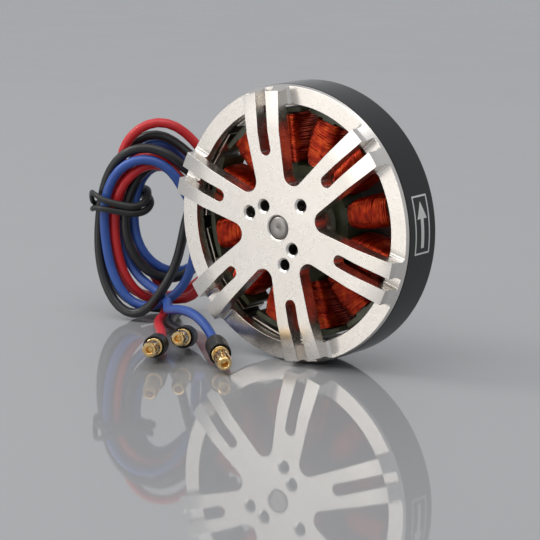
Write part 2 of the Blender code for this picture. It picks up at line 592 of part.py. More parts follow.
def build_leads():
    paths = lead_paths()
    for (name, (_, _, tip, (degrees, rise))), path in zip(LEADS.items(), paths):
        points = fitted(path, 80)
        curve = bpy.data.curves.new(f"lead_{name}", "CURVE")
        curve.dimensions = "3D"
        curve.bevel_depth = LEAD_R * MM
        curve.bevel_resolution = 2
        curve.use_fill_caps = True
        curve.materials.append(material(f"{name}_silicone"))
        line = curve.splines.new("POLY")
        line.points.add(len(points) - 1)
        for spot, (x, y, z) in zip(line.points, points):
            spot.co = (x * MM, y * MM, z * MM, 1.0)
        bpy.context.scene.collection.objects.link(bpy.data.objects.new(f"lead_{name}", curve))
        out = heading(degrees, rise)
        base = Vector(tip) - out * PLUG_L
        end = SLEEVE_L
        sleeve = [(1.5, 0.0), (1.75, -0.3), (2.2, 0.0), (SLEEVE_R, 0.7), (SLEEVE_R, end), (2.25, end)]
        sleeve += [(2.25, 4.0), (1.5, 4.0)]
        along(f"sleeve_{name}", sleeve, 20, base, out, "shrink")
        plug = [(0.0, 4.7), (1.95, 4.7), (1.95, end + 0.4), (1.5, end + 0.5), (1.5, end + 1.0), (PLUG_R, end + 1.4)]
        plug += [(PLUG_R + 0.12, end + 3.8), (PLUG_R, PLUG_L - 0.9), (1.4, PLUG_L), (0.8, PLUG_L)]
        plug += [(0.8, PLUG_L - 3.0), (0.0, PLUG_L - 3.0)]
        along(f"plug_{name}", plug, 20, base, out, "gold")
    build_tie()


def build_tie():
    """A rubber band that goes round the bundle on the far side of the loop and stands open inside it."""
    ring = (
        # place in the loop, and radius: the band is stretched thin where it is tight on the leads
        (-9.1, 27.9, 1.2, 0.65), (-8.7, 28.2, -1.8, 0.65), (-6.4, 27.8, -3.9, 0.8), (-2.4, 26.9, -3.9, 0.95),
        (1.0, 26.4, -3.6, 0.95), (3.4, 26.8, -1.6, 0.95), (4.6, 28.2, 1.2, 0.95), (4.0, 29.8, 4.8, 0.95),
        (2.4, 30.2, 7.4, 0.95), (-0.6, 29.6, 8.6, 0.95), (-5.0, 28.9, 7.8, 0.8), (-8.7, 28.2, 4.6, 0.65),
    )
    points = [in_loop(*spot[:3]) for spot in ring]
    count = len(points)
    dense = []
    for i in range(count):
        a, b, c, d = (points[(i + k) % count] for k in (-1, 0, 1, 2))
        for t in (0.0, 0.34, 0.67):
            curved = (2 * a - 5 * b + 4 * c - d) * t * t + (3 * b - a - 3 * c + d) * t**3
            dense.append(0.5 * (2 * b + (c - a) * t + curved))
    total, n = len(dense), 8
    radii = np.interp(np.arange(total) / 3.0, np.arange(count + 1), [spot[3] for spot in ring + ring[:1]])
    verts, faces = [], []
    middle = sum(dense, Vector()) / total
    for i, spot in enumerate(dense):
        forward = (dense[(i + 1) % total] - dense[i - 1]).normalized()
        side = (spot - middle).cross(forward).normalized()
        up = forward.cross(side).normalized()
        for k in range(n):
            t = 2 * math.pi * k / n
            verts.append(tuple(spot + (side * math.cos(t) + up * math.sin(t)) * float(radii[i])))
    for i in range(total):
        a, b = i * n, (i + 1) % total * n
        faces += [(a + k, a + (k + 1) % n, b + (k + 1) % n, b + k) for k in range(n)]
    add("lead_tie", verts, faces, "rubber")


def empty(name, y, parent=None):
    """An empty on the shaft's axis that carries one moving group."""
    made = bpy.data.objects.new(name, None)
    bpy.context.scene.collection.objects.link(made)
    made.location = (0.0, y * MM, 0.0) if parent else (0.0, y * MM, AXIS_Z * MM)
    made.parent = parent
    return made


def assemble():
    """Turns the shapes into metres about the shaft, and hangs each piece on the empty of its group."""
    stator = empty("stator", 0.0)
    rotor = empty("rotor", 0.0, stator)
    mids = {which: y0 + BEARING_W / 2 for which, y0 in zip(("front", "rear"), BEARING_Y)}
    cages = {f"bearing_{which}_cage": empty(f"{which}_cage", y, stator) for which, y in mids.items()}
    turning = ("rotor_bell", "flux_ring", "magnet_", "shaft", "shim", "circlip", "grub_screw_")
    for obj in list(bpy.context.scene.objects):
        if obj.type == "EMPTY":
            continue
        inner = obj.name.endswith("inner_race")
        group = cages.get(obj.name) or (rotor if inner or obj.name.startswith(turning) else stator)
        if obj.type == "MESH":
            shift = Vector((0.0, group.location.y / MM if group in cages.values() else 0.0, AXIS_Z))
            for vertex in obj.data.vertices:
                vertex.co = (vertex.co - shift) * MM
        else:
            obj.location.z = -AXIS_Z * MM
        obj.parent = group


clear()
build_rotor()
build_stator()
build_leads()
assemble()
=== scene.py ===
"""Looks of a flat brushless outrunner motor, 63 mm across, on a pale glossy studio floor.

Shapes are worked out in millimetres in the frame's axes (the shaft along Y, the spoked front towards -Y, the
floor at z = 0) and turned into metres when they become meshes.
"""

import math
import random

import bmesh
import bpy
import numpy as np
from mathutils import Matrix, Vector


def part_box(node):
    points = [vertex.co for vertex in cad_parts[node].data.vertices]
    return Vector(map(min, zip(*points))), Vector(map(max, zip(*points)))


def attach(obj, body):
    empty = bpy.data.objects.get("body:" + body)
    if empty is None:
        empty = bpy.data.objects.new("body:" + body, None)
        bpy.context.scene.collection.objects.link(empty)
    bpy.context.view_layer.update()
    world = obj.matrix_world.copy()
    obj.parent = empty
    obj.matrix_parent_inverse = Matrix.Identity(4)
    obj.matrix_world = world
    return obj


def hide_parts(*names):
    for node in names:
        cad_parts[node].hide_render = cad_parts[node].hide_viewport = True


MM = 0.001
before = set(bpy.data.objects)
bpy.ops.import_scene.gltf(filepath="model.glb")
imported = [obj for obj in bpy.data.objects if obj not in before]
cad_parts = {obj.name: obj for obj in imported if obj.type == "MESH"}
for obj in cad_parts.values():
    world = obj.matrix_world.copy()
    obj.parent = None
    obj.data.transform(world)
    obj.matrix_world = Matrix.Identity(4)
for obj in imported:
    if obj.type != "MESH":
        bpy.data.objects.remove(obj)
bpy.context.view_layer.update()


def corners(node):
    """A CAD node's lowest and highest corners in millimetres."""
    low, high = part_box(node)
    return low / MM, high / MM


# ---- driving dimensions, from the frame where it has them ----
ring_low, ring_high = corners("flux_ring")
FRONT = corners("rotor_bell")[0].y
REAR = corners("stator_base")[1].y
core_low, core_high = corners("stator_core")
coil_low, coil_high = corners("coil_01")
SHAFT_END = corners("shaft")[1].y
OUTER_R = (ring_high.x - ring_low.x) / 2
AXIS_Z = (ring_high.z + ring_low.z) / 2
SHOULDER, RING_REAR = ring_low.y, ring_high.y
RING_IN, BELL_BORE = 29.0, 27.17
FLAT_R, TIP_R, TIP_Y, TIP_BACK = 21.8, 30.4, FRONT + 1.3, -8.0
POCKET_Y, PLATE_BACK = -6.38, -7.75
BOSS_R, BOSS_BACK = 10.5, -4.1
SPOKES, SPOKE_PHASE, SPOKE_TAPER = 6, 41.5, 0.0572
SLOT_HALF, SLOT_START = 1.38, 17.66
TEETH, TOOTH_PHASE, TOOTH_HALF = 12, 12.5, 1.7
CORE_R, TIP_IN, YOKE_R, CORE_BORE = (core_high.x - core_low.x) / 2, 24.8, 12.9, 8.3
HUB_HOLES = ((8.4, 161.5), (8.4, 41.5), (8.4, -78.5), (6.0, 131.2), (6.0, -48.8))
PLATE_R, PLATE_Y, GATE_IN, GATE_R, GATE_HALF = 26.0, 8.35, 12.4, 18.4, 5.2
LEAD_R, SLEEVE_L, PLUG_R, PLUG_L = 1.15, 9.0, 1.75, 17.0


# ---- building blocks ----
def mesh_object(name, verts, faces, look, smooth=30.0):
    """An object from points in millimetres, facing outwards, with edges sharper than `smooth` kept crisp."""
    mesh = bpy.data.meshes.new(name)
    mesh.from_pydata([tuple(v) for v in verts], [], faces)
    work = bmesh.new()
    work.from_mesh(mesh)
    bmesh.ops.recalc_face_normals(work, faces=work.faces)
    work.to_mesh(mesh)
    work.free()
    obj = bpy.data.objects.new(name, mesh)
    bpy.context.scene.collection.objects.link(obj)
    if look:
        mesh.materials.append(look)
    finish_shading(obj, smooth)
    return obj


def finish_shading(obj, smooth=30.0):
    mesh = obj.data
    mesh.polygons.foreach_set("use_smooth", [True] * len(mesh.polygons))
    mesh.set_sharp_from_angle(angle=math.radians(smooth))
    return obj


def to_metres(obj):
    obj.data.transform(obj.matrix_world.__class__.Scale(MM, 4))
    obj.data.update()
    return obj


def on_axis(r, degrees, y):
    a = math.radians(degrees)
    return (r * math.cos(a), y, AXIS_Z + r * math.sin(a))


def turned(points, degrees):
    c, s = math.cos(math.radians(degrees)), math.sin(math.radians(degrees))
    return [(x * c - z * s, x * s + z * c) for x, z in points]


def arc(cx, cz, r, start, end, steps):
    angles = [math.radians(start + (end - start) * i / steps) for i in range(steps + 1)]
    return [(cx + r * math.cos(a), cz + r * math.sin(a)) for a in angles]


def spun(name, profile, steps, look, start=(0.0, 0.0, 0.0), direction=(0.0, 1.0, 0.0), smooth=30.0):
    """Turns (radius, distance) pairs about a line: a solid if they start on the line, or else a ring."""
    turn = Vector(direction).to_track_quat("Z", "X").to_matrix()
    solid = profile[0][0] == 0.0
    rim = profile[1:-1] if solid else profile
    n = len(rim)
    verts = []
    for k in range(steps):
        t = 2 * math.pi * k / steps
        c, s = math.cos(t), math.sin(t)
        verts += [tuple(Vector(start) + turn @ Vector((r * c, r * s, d))) for r, d in rim]
    faces = []
    for k in range(steps):
        a, b = k * n, (k + 1) % steps * n
        faces += [(a + i, a + (i + 1) % n, b + (i + 1) % n, b + i) for i in range(n - 1 if solid else n)]
    if solid:
        first, last = len(verts), len(verts) + 1
        verts += [tuple(Vector(start) + turn @ Vector((0, 0, profile[i][1]))) for i in (0, -1)]
        for k in range(steps):
            a, b = k * n, (k + 1) % steps * n
            faces += [(first, a, b), (last, b + n - 1, a + n - 1)]
    return mesh_object(name, verts, faces, look, smooth)


def shaft_turned(name, profile, steps, look, smooth=30.0):
    """A part turned about the motor's own shaft, from (radius, y) pairs."""
    return spun(name, profile, steps, look, (0.0, 0.0, AXIS_Z), (0, 1, 0), smooth)


def prism(name, outline, y0, y1, look=None, smooth=30.0):
    n = len(outline)
    verts = [(x, y0, AXIS_Z + z) for x, z in outline] + [(x, y1, AXIS_Z + z) for x, z in outline]
    faces = [tuple(range(n)), tuple(reversed(range(n, 2 * n)))]
    faces += [(i, (i + 1) % n, (i + 1) % n + n, i + n) for i in range(n)]
    return mesh_object(name, verts, faces, look, smooth)


def rod(name, start, end, r, steps, look=None):
    a, b = Vector(start), Vector(end)
    length = (b - a).length
    return spun(name, [(0.0, 0.0), (r, 0.0), (r, length), (0.0, length)], steps, look, a, b - a)


def round_floor(obj, y, radius, steps=5):
    """Rounds the edges of a cutter's face at this y, which leaves a fillet where it stops."""
    work = bmesh.new()
    work.from_mesh(obj.data)
    edges = [e for e in work.edges if all(abs(v.co.y - y) < 1e-4 for v in e.verts)]
    bmesh.ops.bevel(work, geom=edges, offset=radius, segments=steps, profile=0.5, affect="EDGES")
    bmesh.ops.recalc_face_normals(work, faces=work.faces)
    work.to_mesh(obj.data)
    work.free()
    return obj


def applied(obj):
    """Replaces an object's mesh with what its modifiers make of it."""
    bpy.context.view_layer.update()
    graph = bpy.context.evaluated_depsgraph_get()
    result = bpy.data.meshes.new_from_object(obj.evaluated_get(graph))
    obj.modifiers.clear()
    obj.data = result
    return obj


def cut(target, cutters, operation="DIFFERENCE"):
    for cutter in cutters:
        step = target.modifiers.new("cut", "BOOLEAN")
        step.operation = operation
        step.solver = "EXACT"
        step.object = cutter
        applied(target)
        bpy.data.objects.remove(cutter, do_unlink=True)
    return target


def eased(obj, width, angle=35.0, steps=2):
    """Breaks the sharp edges by a small chamfer, as deburring does."""
    work = bmesh.new()
    work.from_mesh(obj.data)
    bmesh.ops.remove_doubles(work, verts=work.verts, dist=0.004)
    bmesh.ops.dissolve_limit(work, angle_limit=math.radians(0.4), verts=work.verts, edges=work.edges)
    work.to_mesh(obj.data)
    work.free()
    step = obj.modifiers.new("ease", "BEVEL")
    step.width = width
    step.segments = steps
    step.limit_method = "ANGLE"
    step.angle_limit = math.radians(angle)
    step.use_clamp_overlap = False
    step.harden_normals = False
    return flat_shaded(applied(obj))


def flat_shaded(obj):
    """Flat faces stay flat, and only the small chamfers are shaded as round."""
    finish_shading(obj, 31.0)
    step = obj.modifiers.new("weights", "WEIGHTED_NORMAL")
    step.mode = "FACE_AREA"
    step.weight = 100
    step.keep_sharp = True
    return applied(obj)


# ---- materials ----
class Look:
    """A node material whose shader is at hand, with small helpers for texture and bump."""

    def __init__(self, name, colour, metallic=0.0, roughness=0.4, **sockets):
        self.material = bpy.data.materials.new(name)
        self.material.use_nodes = True
        self.tree = self.material.node_tree
        self.shader = self.tree.nodes["Principled BSDF"]
        self.set("Base Color", (*colour, 1.0))
        self.set("Metallic", metallic)
        self.set("Roughness", roughness)
        for socket, value in sockets.items():
            self.set(socket.replace("_", " "), value)
        self.place = self.tree.nodes.new("ShaderNodeTexCoord").outputs["Object"]

    def set(self, socket, value):
        self.shader.inputs[socket].default_value = value

    def node(self, kind, **values):
        made = self.tree.nodes.new(kind)
        for key, value in values.items():
            if key in made.inputs:
                made.inputs[key].default_value = value
            elif key.replace("_", " ") in made.inputs:
                made.inputs[key.replace("_", " ")].default_value = value
            else:
                setattr(made, key, value)
        return made

    def link(self, a, b):
        self.tree.links.new(a, b)

    def noise(self, per_mm, detail=3.0, stretch=(1, 1, 1)):
        mapping = self.node("ShaderNodeMapping")
        mapping.inputs["Scale"].default_value = [s / MM * per_mm for s in stretch]
        self.link(self.place, mapping.inputs["Vector"])
        made = self.node("ShaderNodeTexNoise", Scale=1.0, Detail=detail)
        self.link(mapping.outputs["Vector"], made.inputs["Vector"])
        return made.outputs["Fac"]

    def ramp(self, source, stops, to):
        made = self.node("ShaderNodeValToRGB")
        band = made.color_ramp
        while len(band.elements) < len(stops):
            band.elements.new(0.5)
        for element, (at, colour) in zip(band.elements, stops):
            element.position = at
            element.color = (*colour, 1.0) if hasattr(colour, "__len__") else (colour, colour, colour, 1.0)
        self.link(source, made.inputs["Fac"])
        self.link(made.outputs["Color"], self.shader.inputs[to] if isinstance(to, str) else to)
        return made

    def bump(self, source, depth_mm, strength=1.0):
        made = self.node("ShaderNodeBump", Strength=strength, Distance=depth_mm * MM)
        self.link(source, made.inputs["Height"])
        if self.shader.inputs["Normal"].is_linked:
            self.link(self.shader.inputs["Normal"].links[0].from_socket, made.inputs["Normal"])
        self.link(made.outputs["Normal"], self.shader.inputs["Normal"])
        return self


def turned_lines(look, per_mm, depth_mm):
    """Fine circular tool marks about the shaft, from the distance to its axis."""
    split = look.node("ShaderNodeSeparateXYZ")
    look.link(look.place, split.inputs["Vector"])
    up = look.node("ShaderNodeMath", operation="SUBTRACT")
    up.inputs[1].default_value = AXIS_Z * MM
    look.link(split.outputs["Z"], up.inputs[0])
    flat = look.node("ShaderNodeCombineXYZ")
    look.link(split.outputs["X"], flat.inputs["X"])
    look.link(up.outputs[0], flat.inputs["Y"])
    length = look.node("ShaderNodeVectorMath", operation="LENGTH")
    look.link(flat.outputs["Vector"], length.inputs[0])
    spread = look.node("ShaderNodeMath", operation="MULTIPLY")
    spread.inputs[1].default_value = per_mm / MM
    look.link(length.outputs["Value"], spread.inputs[0])
    made = look.node("ShaderNodeTexNoise", noise_dimensions="1D", Scale=1.0, Detail=4.0)
    look.link(spread.outputs[0], made.inputs["W"])
    look.bump(made.outputs["Fac"], depth_mm)
    return made.outputs["Fac"]


def satin_aluminium():
    look = Look("satin_aluminium", (0.82, 0.785, 0.74), 1.0, 0.36)
    look.ramp(look.noise(0.09, 2.0), [(0.3, (0.80, 0.765, 0.72)), (0.7, (0.85, 0.815, 0.775))], "Base Color")
    look.ramp(look.noise(0.5, 2.0), [(0.3, 0.262), (0.7, 0.278)], "Roughness")
    turned_lines(look, 1.5, 0.0001)
    return look.material


def turned_aluminium():
    look = Look("turned_aluminium", (0.50, 0.49, 0.47), 1.0, 0.42)
    look.ramp(look.noise(0.5, 3.0), [(0.3, 0.38), (0.7, 0.48)], "Roughness")
    turned_lines(look, 4.0, 0.002)
    return look.material


def gloss_black():
    look = Look("gloss_black", (0.010, 0.010, 0.010), 0.0, 0.14, Specular_IOR_Level=0.45)
    look.ramp(look.noise(0.5, 3.0), [(0.35, 0.13), (0.7, 0.2)], "Roughness")
    look.bump(look.noise(3.0, 2.0), 0.0008)
    return look.material


def nickel():
    look = Look("nickel", (0.68, 0.63, 0.56), 1.0, 0.24)
    look.ramp(look.noise(0.7, 3.0), [(0.3, (0.62, 0.57, 0.50)), (0.7, (0.72, 0.68, 0.61))], "Base Color")
    look.bump(look.noise(5.0, 3.0), 0.003)
    return look.material


def steel(name="steel", colour=(0.52, 0.52, 0.52), roughness=0.24, lines=0.0015):
    look = Look(name, colour, 1.0, roughness)
    look.ramp(look.noise(1.5, 3.0), [(0.3, roughness - 0.05), (0.7, roughness + 0.08)], "Roughness")
    turned_lines(look, 5.0, lines)
    return look.material


def green_coating():
    look = Look("green_coating", (0.07, 0.085, 0.04), 0.0, 0.38, Coat_Weight=0.3, Coat_Roughness=0.25)
    shades = [(0.3, (0.045, 0.055, 0.028)), (0.72, (0.095, 0.11, 0.055))]
    look.ramp(look.noise(0.35, 4.0), shades, "Base Color")
    look.bump(look.noise(2.2, 4.0), 0.03)
    look.bump(look.noise(5.0, 1.0, (0.02, 1.0, 0.02)), 0.02, 0.5)
    return look.material


def enamel(name, low, mid, high):
    look = Look(name, mid, 0.8, 0.32, Coat_Weight=0.2, Coat_Roughness=0.2)
    look.ramp(look.noise(0.55, 3.0), [(0.28, low), (0.5, mid), (0.75, high)], "Base Color")
    look.bump(look.noise(6.0, 2.0), 0.004)
    return look.material


def silicone(name, low, high, roughness=0.36):
    look = Look(name, high, 0.0, roughness, Coat_Weight=0.12, Coat_Roughness=0.3)
    look.ramp(look.noise(0.12, 3.0), [(0.3, low), (0.7, high)], "Base Color")
    look.ramp(look.noise(0.8, 3.0), [(0.3, roughness - 0.05), (0.7, roughness + 0.07)], "Roughness")
    look.bump(look.noise(2.5, 3.0), 0.006)
    return look.material


def gold():
    look = Look("gold", (0.87, 0.60, 0.27), 1.0, 0.2)
    look.ramp(look.noise(0.9, 3.0), [(0.3, (0.80, 0.52, 0.20)), (0.7, (0.93, 0.70, 0.36))], "Base Color")
    look.bump(look.noise(2.5, 3.0), 0.02)
    return look.material


def shrink_tube():
    look = Look("shrink_tube", (0.018, 0.018, 0.018), 0.0, 0.45)
    look.ramp(look.noise(0.6, 3.0), [(0.3, 0.38), (0.7, 0.55)], "Roughness")
    look.bump(look.noise(0.7, 4.0), 0.08)
    return look.material


def rubber():
    look = Look("rubber", (0.02, 0.02, 0.019), 0.0, 0.42)
    look.ramp(look.noise(1.0, 3.0), [(0.3, 0.36), (0.7, 0.52)], "Roughness")
    look.bump(look.noise(1.6, 3.0), 0.02)
    return look.material


def white_print():
    look = Look("print", (0.72, 0.72, 0.70), 0.0, 0.42)
    look.ramp(look.noise(1.5, 3.0), [(0.3, 0.38), (0.7, 0.48)], "Roughness")
    look.bump(look.noise(6.0, 3.0), 0.002)
    return look.material


# ---- camera, light and floor ----
def build_studio():
    scene = bpy.context.scene
    scene.view_settings.view_transform = "Standard"
    data = bpy.data.cameras.new("camera")
    data.lens, data.sensor_width = 166.85, 36.0
    data.clip_start, data.clip_end = 0.05, 20.0
    camera = bpy.data.objects.new("camera", data)
    scene.collection.objects.link(camera)
    place, aim = Vector((0.33171, -0.44537, 0.13233)), Vector((-0.00669, -0.00548, 0.02021))
    camera.location = place
    camera.rotation_euler = (aim - place).to_track_quat("-Z", "Y").to_euler()
    scene.camera = camera

    world = bpy.data.worlds.new("studio")
    world.use_nodes = True
    backdrop = world.node_tree.nodes["Background"]
    backdrop.inputs["Color"].default_value = (0.80, 0.82, 0.85, 1.0)
    backdrop.inputs["Strength"].default_value = 0.58
    scene.world = world
    lamps = (
        # name, azimuth, elevation, distance, size, power, colour
        ("front", -27.0, 5.0, 0.95, (0.4, 0.5), 1.2, (1.0, 0.95, 0.89)),
        ("key", -62.0, 42.0, 0.9, (0.35, 0.35), 2.5, (1.0, 0.98, 0.95)),
        ("top", 20.0, 72.0, 0.8, (0.8, 0.8), 3.0, (1.0, 1.0, 1.0)),
    )
    for name, azimuth, elevation, distance, (wide, high), power, colour in lamps:
        light = bpy.data.lights.new(name, "AREA")
        light.shape, light.size, light.size_y, light.energy = "RECTANGLE", wide, high, power
        light.color = colour
        lamp = bpy.data.objects.new(name, light)
        scene.collection.objects.link(lamp)
        a, e = math.radians(azimuth), math.radians(elevation)
        away = Vector((math.sin(a) * math.cos(e), -math.cos(a) * math.cos(e), math.sin(e)))
        lamp.location = Vector((0, 0, 0.03)) + away * distance
        lamp.rotation_euler = (-away).to_track_quat("-Z", "Y").to_euler()


def build_floor():
    work = bmesh.new()
    bmesh.ops.create_grid(work, x_segments=2, y_segments=2, size=3.0)
    mesh = bpy.data.meshes.new("floor")
    work.to_mesh(mesh)
    work.free()
    floor = bpy.data.objects.new("floor", mesh)
    bpy.context.scene.collection.objects.link(floor)
    look = Look("floor", (0.36, 0.365, 0.375), 0.0, 0.5, Coat_Weight=1.0, Coat_Roughness=0.03, Coat_IOR=1.5)
    look.ramp(look.noise(0.02, 2.0), [(0.3, 0.45), (0.7, 0.55)], "Roughness")
    mesh.materials.append(look.material)


build_studio()
build_floor()


# ---- leads ----
# They leave through the grommet, are wound into a loop that stands on its edge beside the motor, and end in
# plugs that lie on the floor in front. The loop has a frame of its own: u to the right along its face, w up,
# d backwards. Its turns are listed point by point.
LOOP_TURN = math.radians(37.57)
LOOP_AT = Vector((-59.85, 8.11, 0.0))
LOOP_U = Vector((math.cos(LOOP_TURN), math.sin(LOOP_TURN), 0.0))
LOOP_D = Vector((-math.sin(LOOP_TURN), math.cos(LOOP_TURN), 0.0))
VIEW_FAR, VIEW_U, VIEW_W = 598.0, 34.0, 132.0
EXITS = (2.9, 0.0, -2.9)
RED_TURNS = (
    # inner turn
    (24.0, 32.0, -11.0), (19.4, 29.4, -5.2), (17.0, 29.3, -2.0), (15.0, 30.9, 0.2), (13.1, 32.4, 0.8),
    (11.4, 34.6, 0.8), (9.2, 37.4, 0.7), (6.5, 38.8, 0.6), (4.4, 38.3, 0.4), (2.4, 36.7, -0.2),
    (0.8, 35.7, -0.4), (-1.3, 33.2, -0.6), (-2.2, 31.2, -0.6), (-3.4, 26.6, -0.5), (-3.7, 21.0, -0.3),
    (-3.2, 15.0, -0.2), (-1.6, 10.0, -0.2), (1.4, 5.9, 0.2), (5.2, 3.6, 1.5), (9.2, 2.6, 2.5),
    (12.8, 2.5, 2.0), (15.4, 4.0, 1.0), (16.8, 7.2, 1.6), (17.8, 12.4, 4.6), (20.0, 18.4, 8.6),
    (19.8, 25.0, 9.4),
    # middle turn
    (17.8, 31.6, 7.0), (14.6, 35.0, 4.2), (11.0, 37.0, 2.7), (9.2, 38.5, 2.5), (7.3, 39.6, 2.2),
    (5.0, 39.9, 1.8), (1.8, 39.2, 1.6), (-1.4, 37.2, 1.9), (-3.6, 33.6, 2.4), (-4.6, 29.0, 2.6),
    (-4.9, 22.0, 2.5), (-4.2, 14.0, 2.2), (-1.8, 7.9, 2.0), (2.4, 4.6, 2.4), (8.0, 4.4, 4.6),
    (15.0, 7.6, 8.0), (20.6, 13.6, 10.4), (23.6, 21.0, 11.0), (23.2, 30.0, 9.0), (19.4, 37.0, 4.8),
    # outer turn
    (16.6, 41.4, 2.4), (14.9, 43.6, 2.2), (12.9, 45.8, 2.2), (10.4, 47.6, 2.3), (7.3, 48.2, 2.3),
    (3.7, 47.2, 2.2), (0.6, 44.7, 2.2), (-1.6, 41.2, 2.5), (-2.8, 38.0, 3.0), (-2.3, 34.8, 3.9),
    (-1.2, 31.2, 4.8), (-0.2, 27.2, 5.2), (0.7, 22.0, 4.8), (1.9, 17.4, 4.2), (3.8, 12.8, 3.6),
    (6.3, 9.4, 2.0), (8.0, 7.0, -0.1), (8.6, 4.4, -1.8), (7.4, 1.8, -3.3),
)
BLACK_TURNS = (
    (24.0, 29.6, -12.0), (19.4, 26.6, -5.0), (17.5, 27.4, -0.4), (15.9, 30.0, 3.0), (13.7, 32.8, 4.4),
    (11.6, 34.8, 4.9), (9.4, 37.4, 4.9), (7.2, 38.4, 4.0), (4.8, 37.4, 2.6), (2.4, 35.3, 1.5),
    (0.9, 33.0, 1.0), (-0.6, 29.8, 0.7), (-1.2, 25.9, 0.3), (-1.1, 21.1, -0.3), (-0.2, 17.0, -0.8),
    (1.5, 13.6, -0.9), (4.0, 11.0, -0.9), (6.6, 9.6, -0.6), (9.8, 9.2, 0.4), (14.0, 11.0, 3.0),
    (17.8, 15.5, 5.2), (20.2, 21.5, 6.0), (20.6, 27.6, 3.8), (18.6, 31.6, 1.4), (15.8, 33.9, -0.7),
    (13.4, 35.9, -1.8), (11.7, 37.8, -2.2), (9.7, 39.7, -2.2), (7.3, 41.0, -2.0), (4.9, 41.7, -1.8),
    (2.5, 41.6, -1.5), (0.0, 40.9, -0.9), (-1.9, 39.6, 0.0), (-3.9, 37.1, 0.9), (-5.4, 33.7, 1.2),
    (-6.5, 30.0, 1.2), (-7.1, 26.0, 1.2), (-7.6, 21.0, 1.0), (-7.5, 15.6, 0.6), (-6.5, 9.8, -0.8),
    (-4.3, 3.8, -3.0), (-0.9, 0.3, -4.8), (2.2, 0.2, -6.3), (5.4, 3.3, -7.6), (8.2, 7.2, -7.4),
    (10.7, 12.1, -5.6), (12.2, 17.2, -4.4), (13.0, 22.1, -4.0), (14.1, 27.2, -3.8), (16.2, 32.0, -4.4),
    (18.6, 35.2, -1.0), (16.6, 37.8, 2.4), (13.5, 39.7, 3.6), (11.8, 42.0, 3.8), (9.7, 44.3, 3.9),
    (7.3, 45.4, 4.0), (4.9, 45.1, 4.2), (2.5, 44.0, 4.6), (0.4, 42.0, 5.0), (-1.8, 39.2, 5.4),
    (-3.8, 36.0, 5.2), (-5.4, 31.6, 4.4), (-6.4, 25.0, 3.6), (-6.4, 18.0, 3.0), (-5.0, 10.4, 2.2),
    (-2.2, 5.4, 2.6), (2.2, 2.8, 3.4), (6.6, 1.8, 3.8), (10.4, 1.8, 2.2), (11.6, 1.9, -0.8),
)
BLUE_TURNS = (
    (24.0, 27.2, -13.0), (21.2, 24.0, -6.6), (19.8, 25.0, -1.0), (18.4, 27.4, 2.4), (16.4, 30.4, 5.4),
    (13.7, 32.8, 7.0), (11.6, 34.9, 7.3), (9.4, 37.4, 7.3), (7.2, 38.3, 6.5), (5.8, 37.6, 5.6),
    (4.3, 36.2, 4.6), (3.1, 34.4, 3.8), (2.2, 32.9, 3.2), (1.5, 31.2, 2.7), (0.8, 28.0, 2.2),
    (0.6, 25.5, 1.8), (0.9, 21.3, 1.2), (2.1, 17.4, 0.9), (4.3, 14.0, 0.9), (6.9, 11.8, 1.2),
    (10.0, 10.8, 2.4), (14.0, 11.6, 5.4), (18.2, 14.6, 7.4), (19.2, 19.0, 6.6), (18.0, 23.2, 3.6),
    (16.4, 26.0, 0.8), (14.7, 28.8, -1.2), (13.2, 31.6, -1.9), (11.8, 34.2, -2.0), (10.0, 36.6, -2.0),
    (7.4, 38.3, -2.0), (4.8, 39.0, -1.9), (2.4, 39.0, -1.9), (-0.5, 38.1, -1.7), (-2.9, 36.4, -1.4),
    (-4.5, 33.7, -1.2), (-5.5, 30.5, -1.2), (-6.0, 25.5, -1.2), (-6.0, 19.6, -1.2), (-5.2, 13.6, -1.4),
    (-3.3, 7.8, -1.9), (0.0, 3.5, -2.6), (3.4, 1.7, -3.4), (6.6, 1.8, -3.4), (9.6, 4.0, -2.6),
    (13.0, 8.5, -1.4), (15.4, 14.4, 0.6), (15.6, 20.4, 3.0), (15.2, 26.0, 6.6), (14.6, 30.0, 8.8),
    (14.8, 34.0, 8.8), (13.6, 37.0, 7.0), (11.9, 39.5, 5.9), (10.6, 41.5, 5.7), (9.1, 42.9, 5.6),
    (7.3, 43.5, 5.6), (5.4, 43.3, 5.8), (3.7, 42.3, 6.2), (1.6, 40.0, 6.8), (-0.6, 36.0, 7.0),
    (-2.2, 30.6, 6.2), (-2.8, 24.0, 4.2), (-2.1, 17.6, 2.6), (-0.7, 13.6, 1.8), (1.4, 10.2, 0.8),
    (3.9, 7.8, -1.0), (6.5, 6.0, -3.8), (9.4, 4.4, -5.4),
)
# Points along each lead's tail
RED_TAIL = ((-45.6, 1.2, 1.6), (-40.0, -4.6, 2.0), (-34.8, -10.2, 2.5))
BLACK_TAIL = ((-42.6, 1.8, 1.9), (-37.4, -3.2, 2.4))
BLUE_TAIL = ((-42.8, 0.6, 5.0), (-34.4, -3.6, 7.2), (-25.6, -7.2, 6.6))
# Each lead: turns, tail, tip of its plug, and the plug's heading: degrees right of -Y, and rise
LEADS = {
    "red": (RED_TURNS, RED_TAIL, (-19.1, -33.3, 5.0), (32.7, 0.14)),
    "black": (BLACK_TURNS, BLACK_TAIL, (-18.8, -23.7, 5.85), (31.4, 0.185)),
    "blue": (BLUE_TURNS, BLUE_TAIL, (-3.3, -26.2, 2.75), (46.0, -0.05)),
}


def in_loop(u, w, d):
    """A point of the loop. Planes further back are spread about a viewpoint in front of the loop."""
    k = d / VIEW_FAR
    return LOOP_AT + LOOP_U * (u + (u - VIEW_U) * k) + LOOP_D * d + Vector((0, 0, w - (VIEW_W - w) * k))


def heading(degrees, rise):
    a = math.radians(degrees)
    return Vector((math.sin(a), -math.cos(a), rise)).normalized()


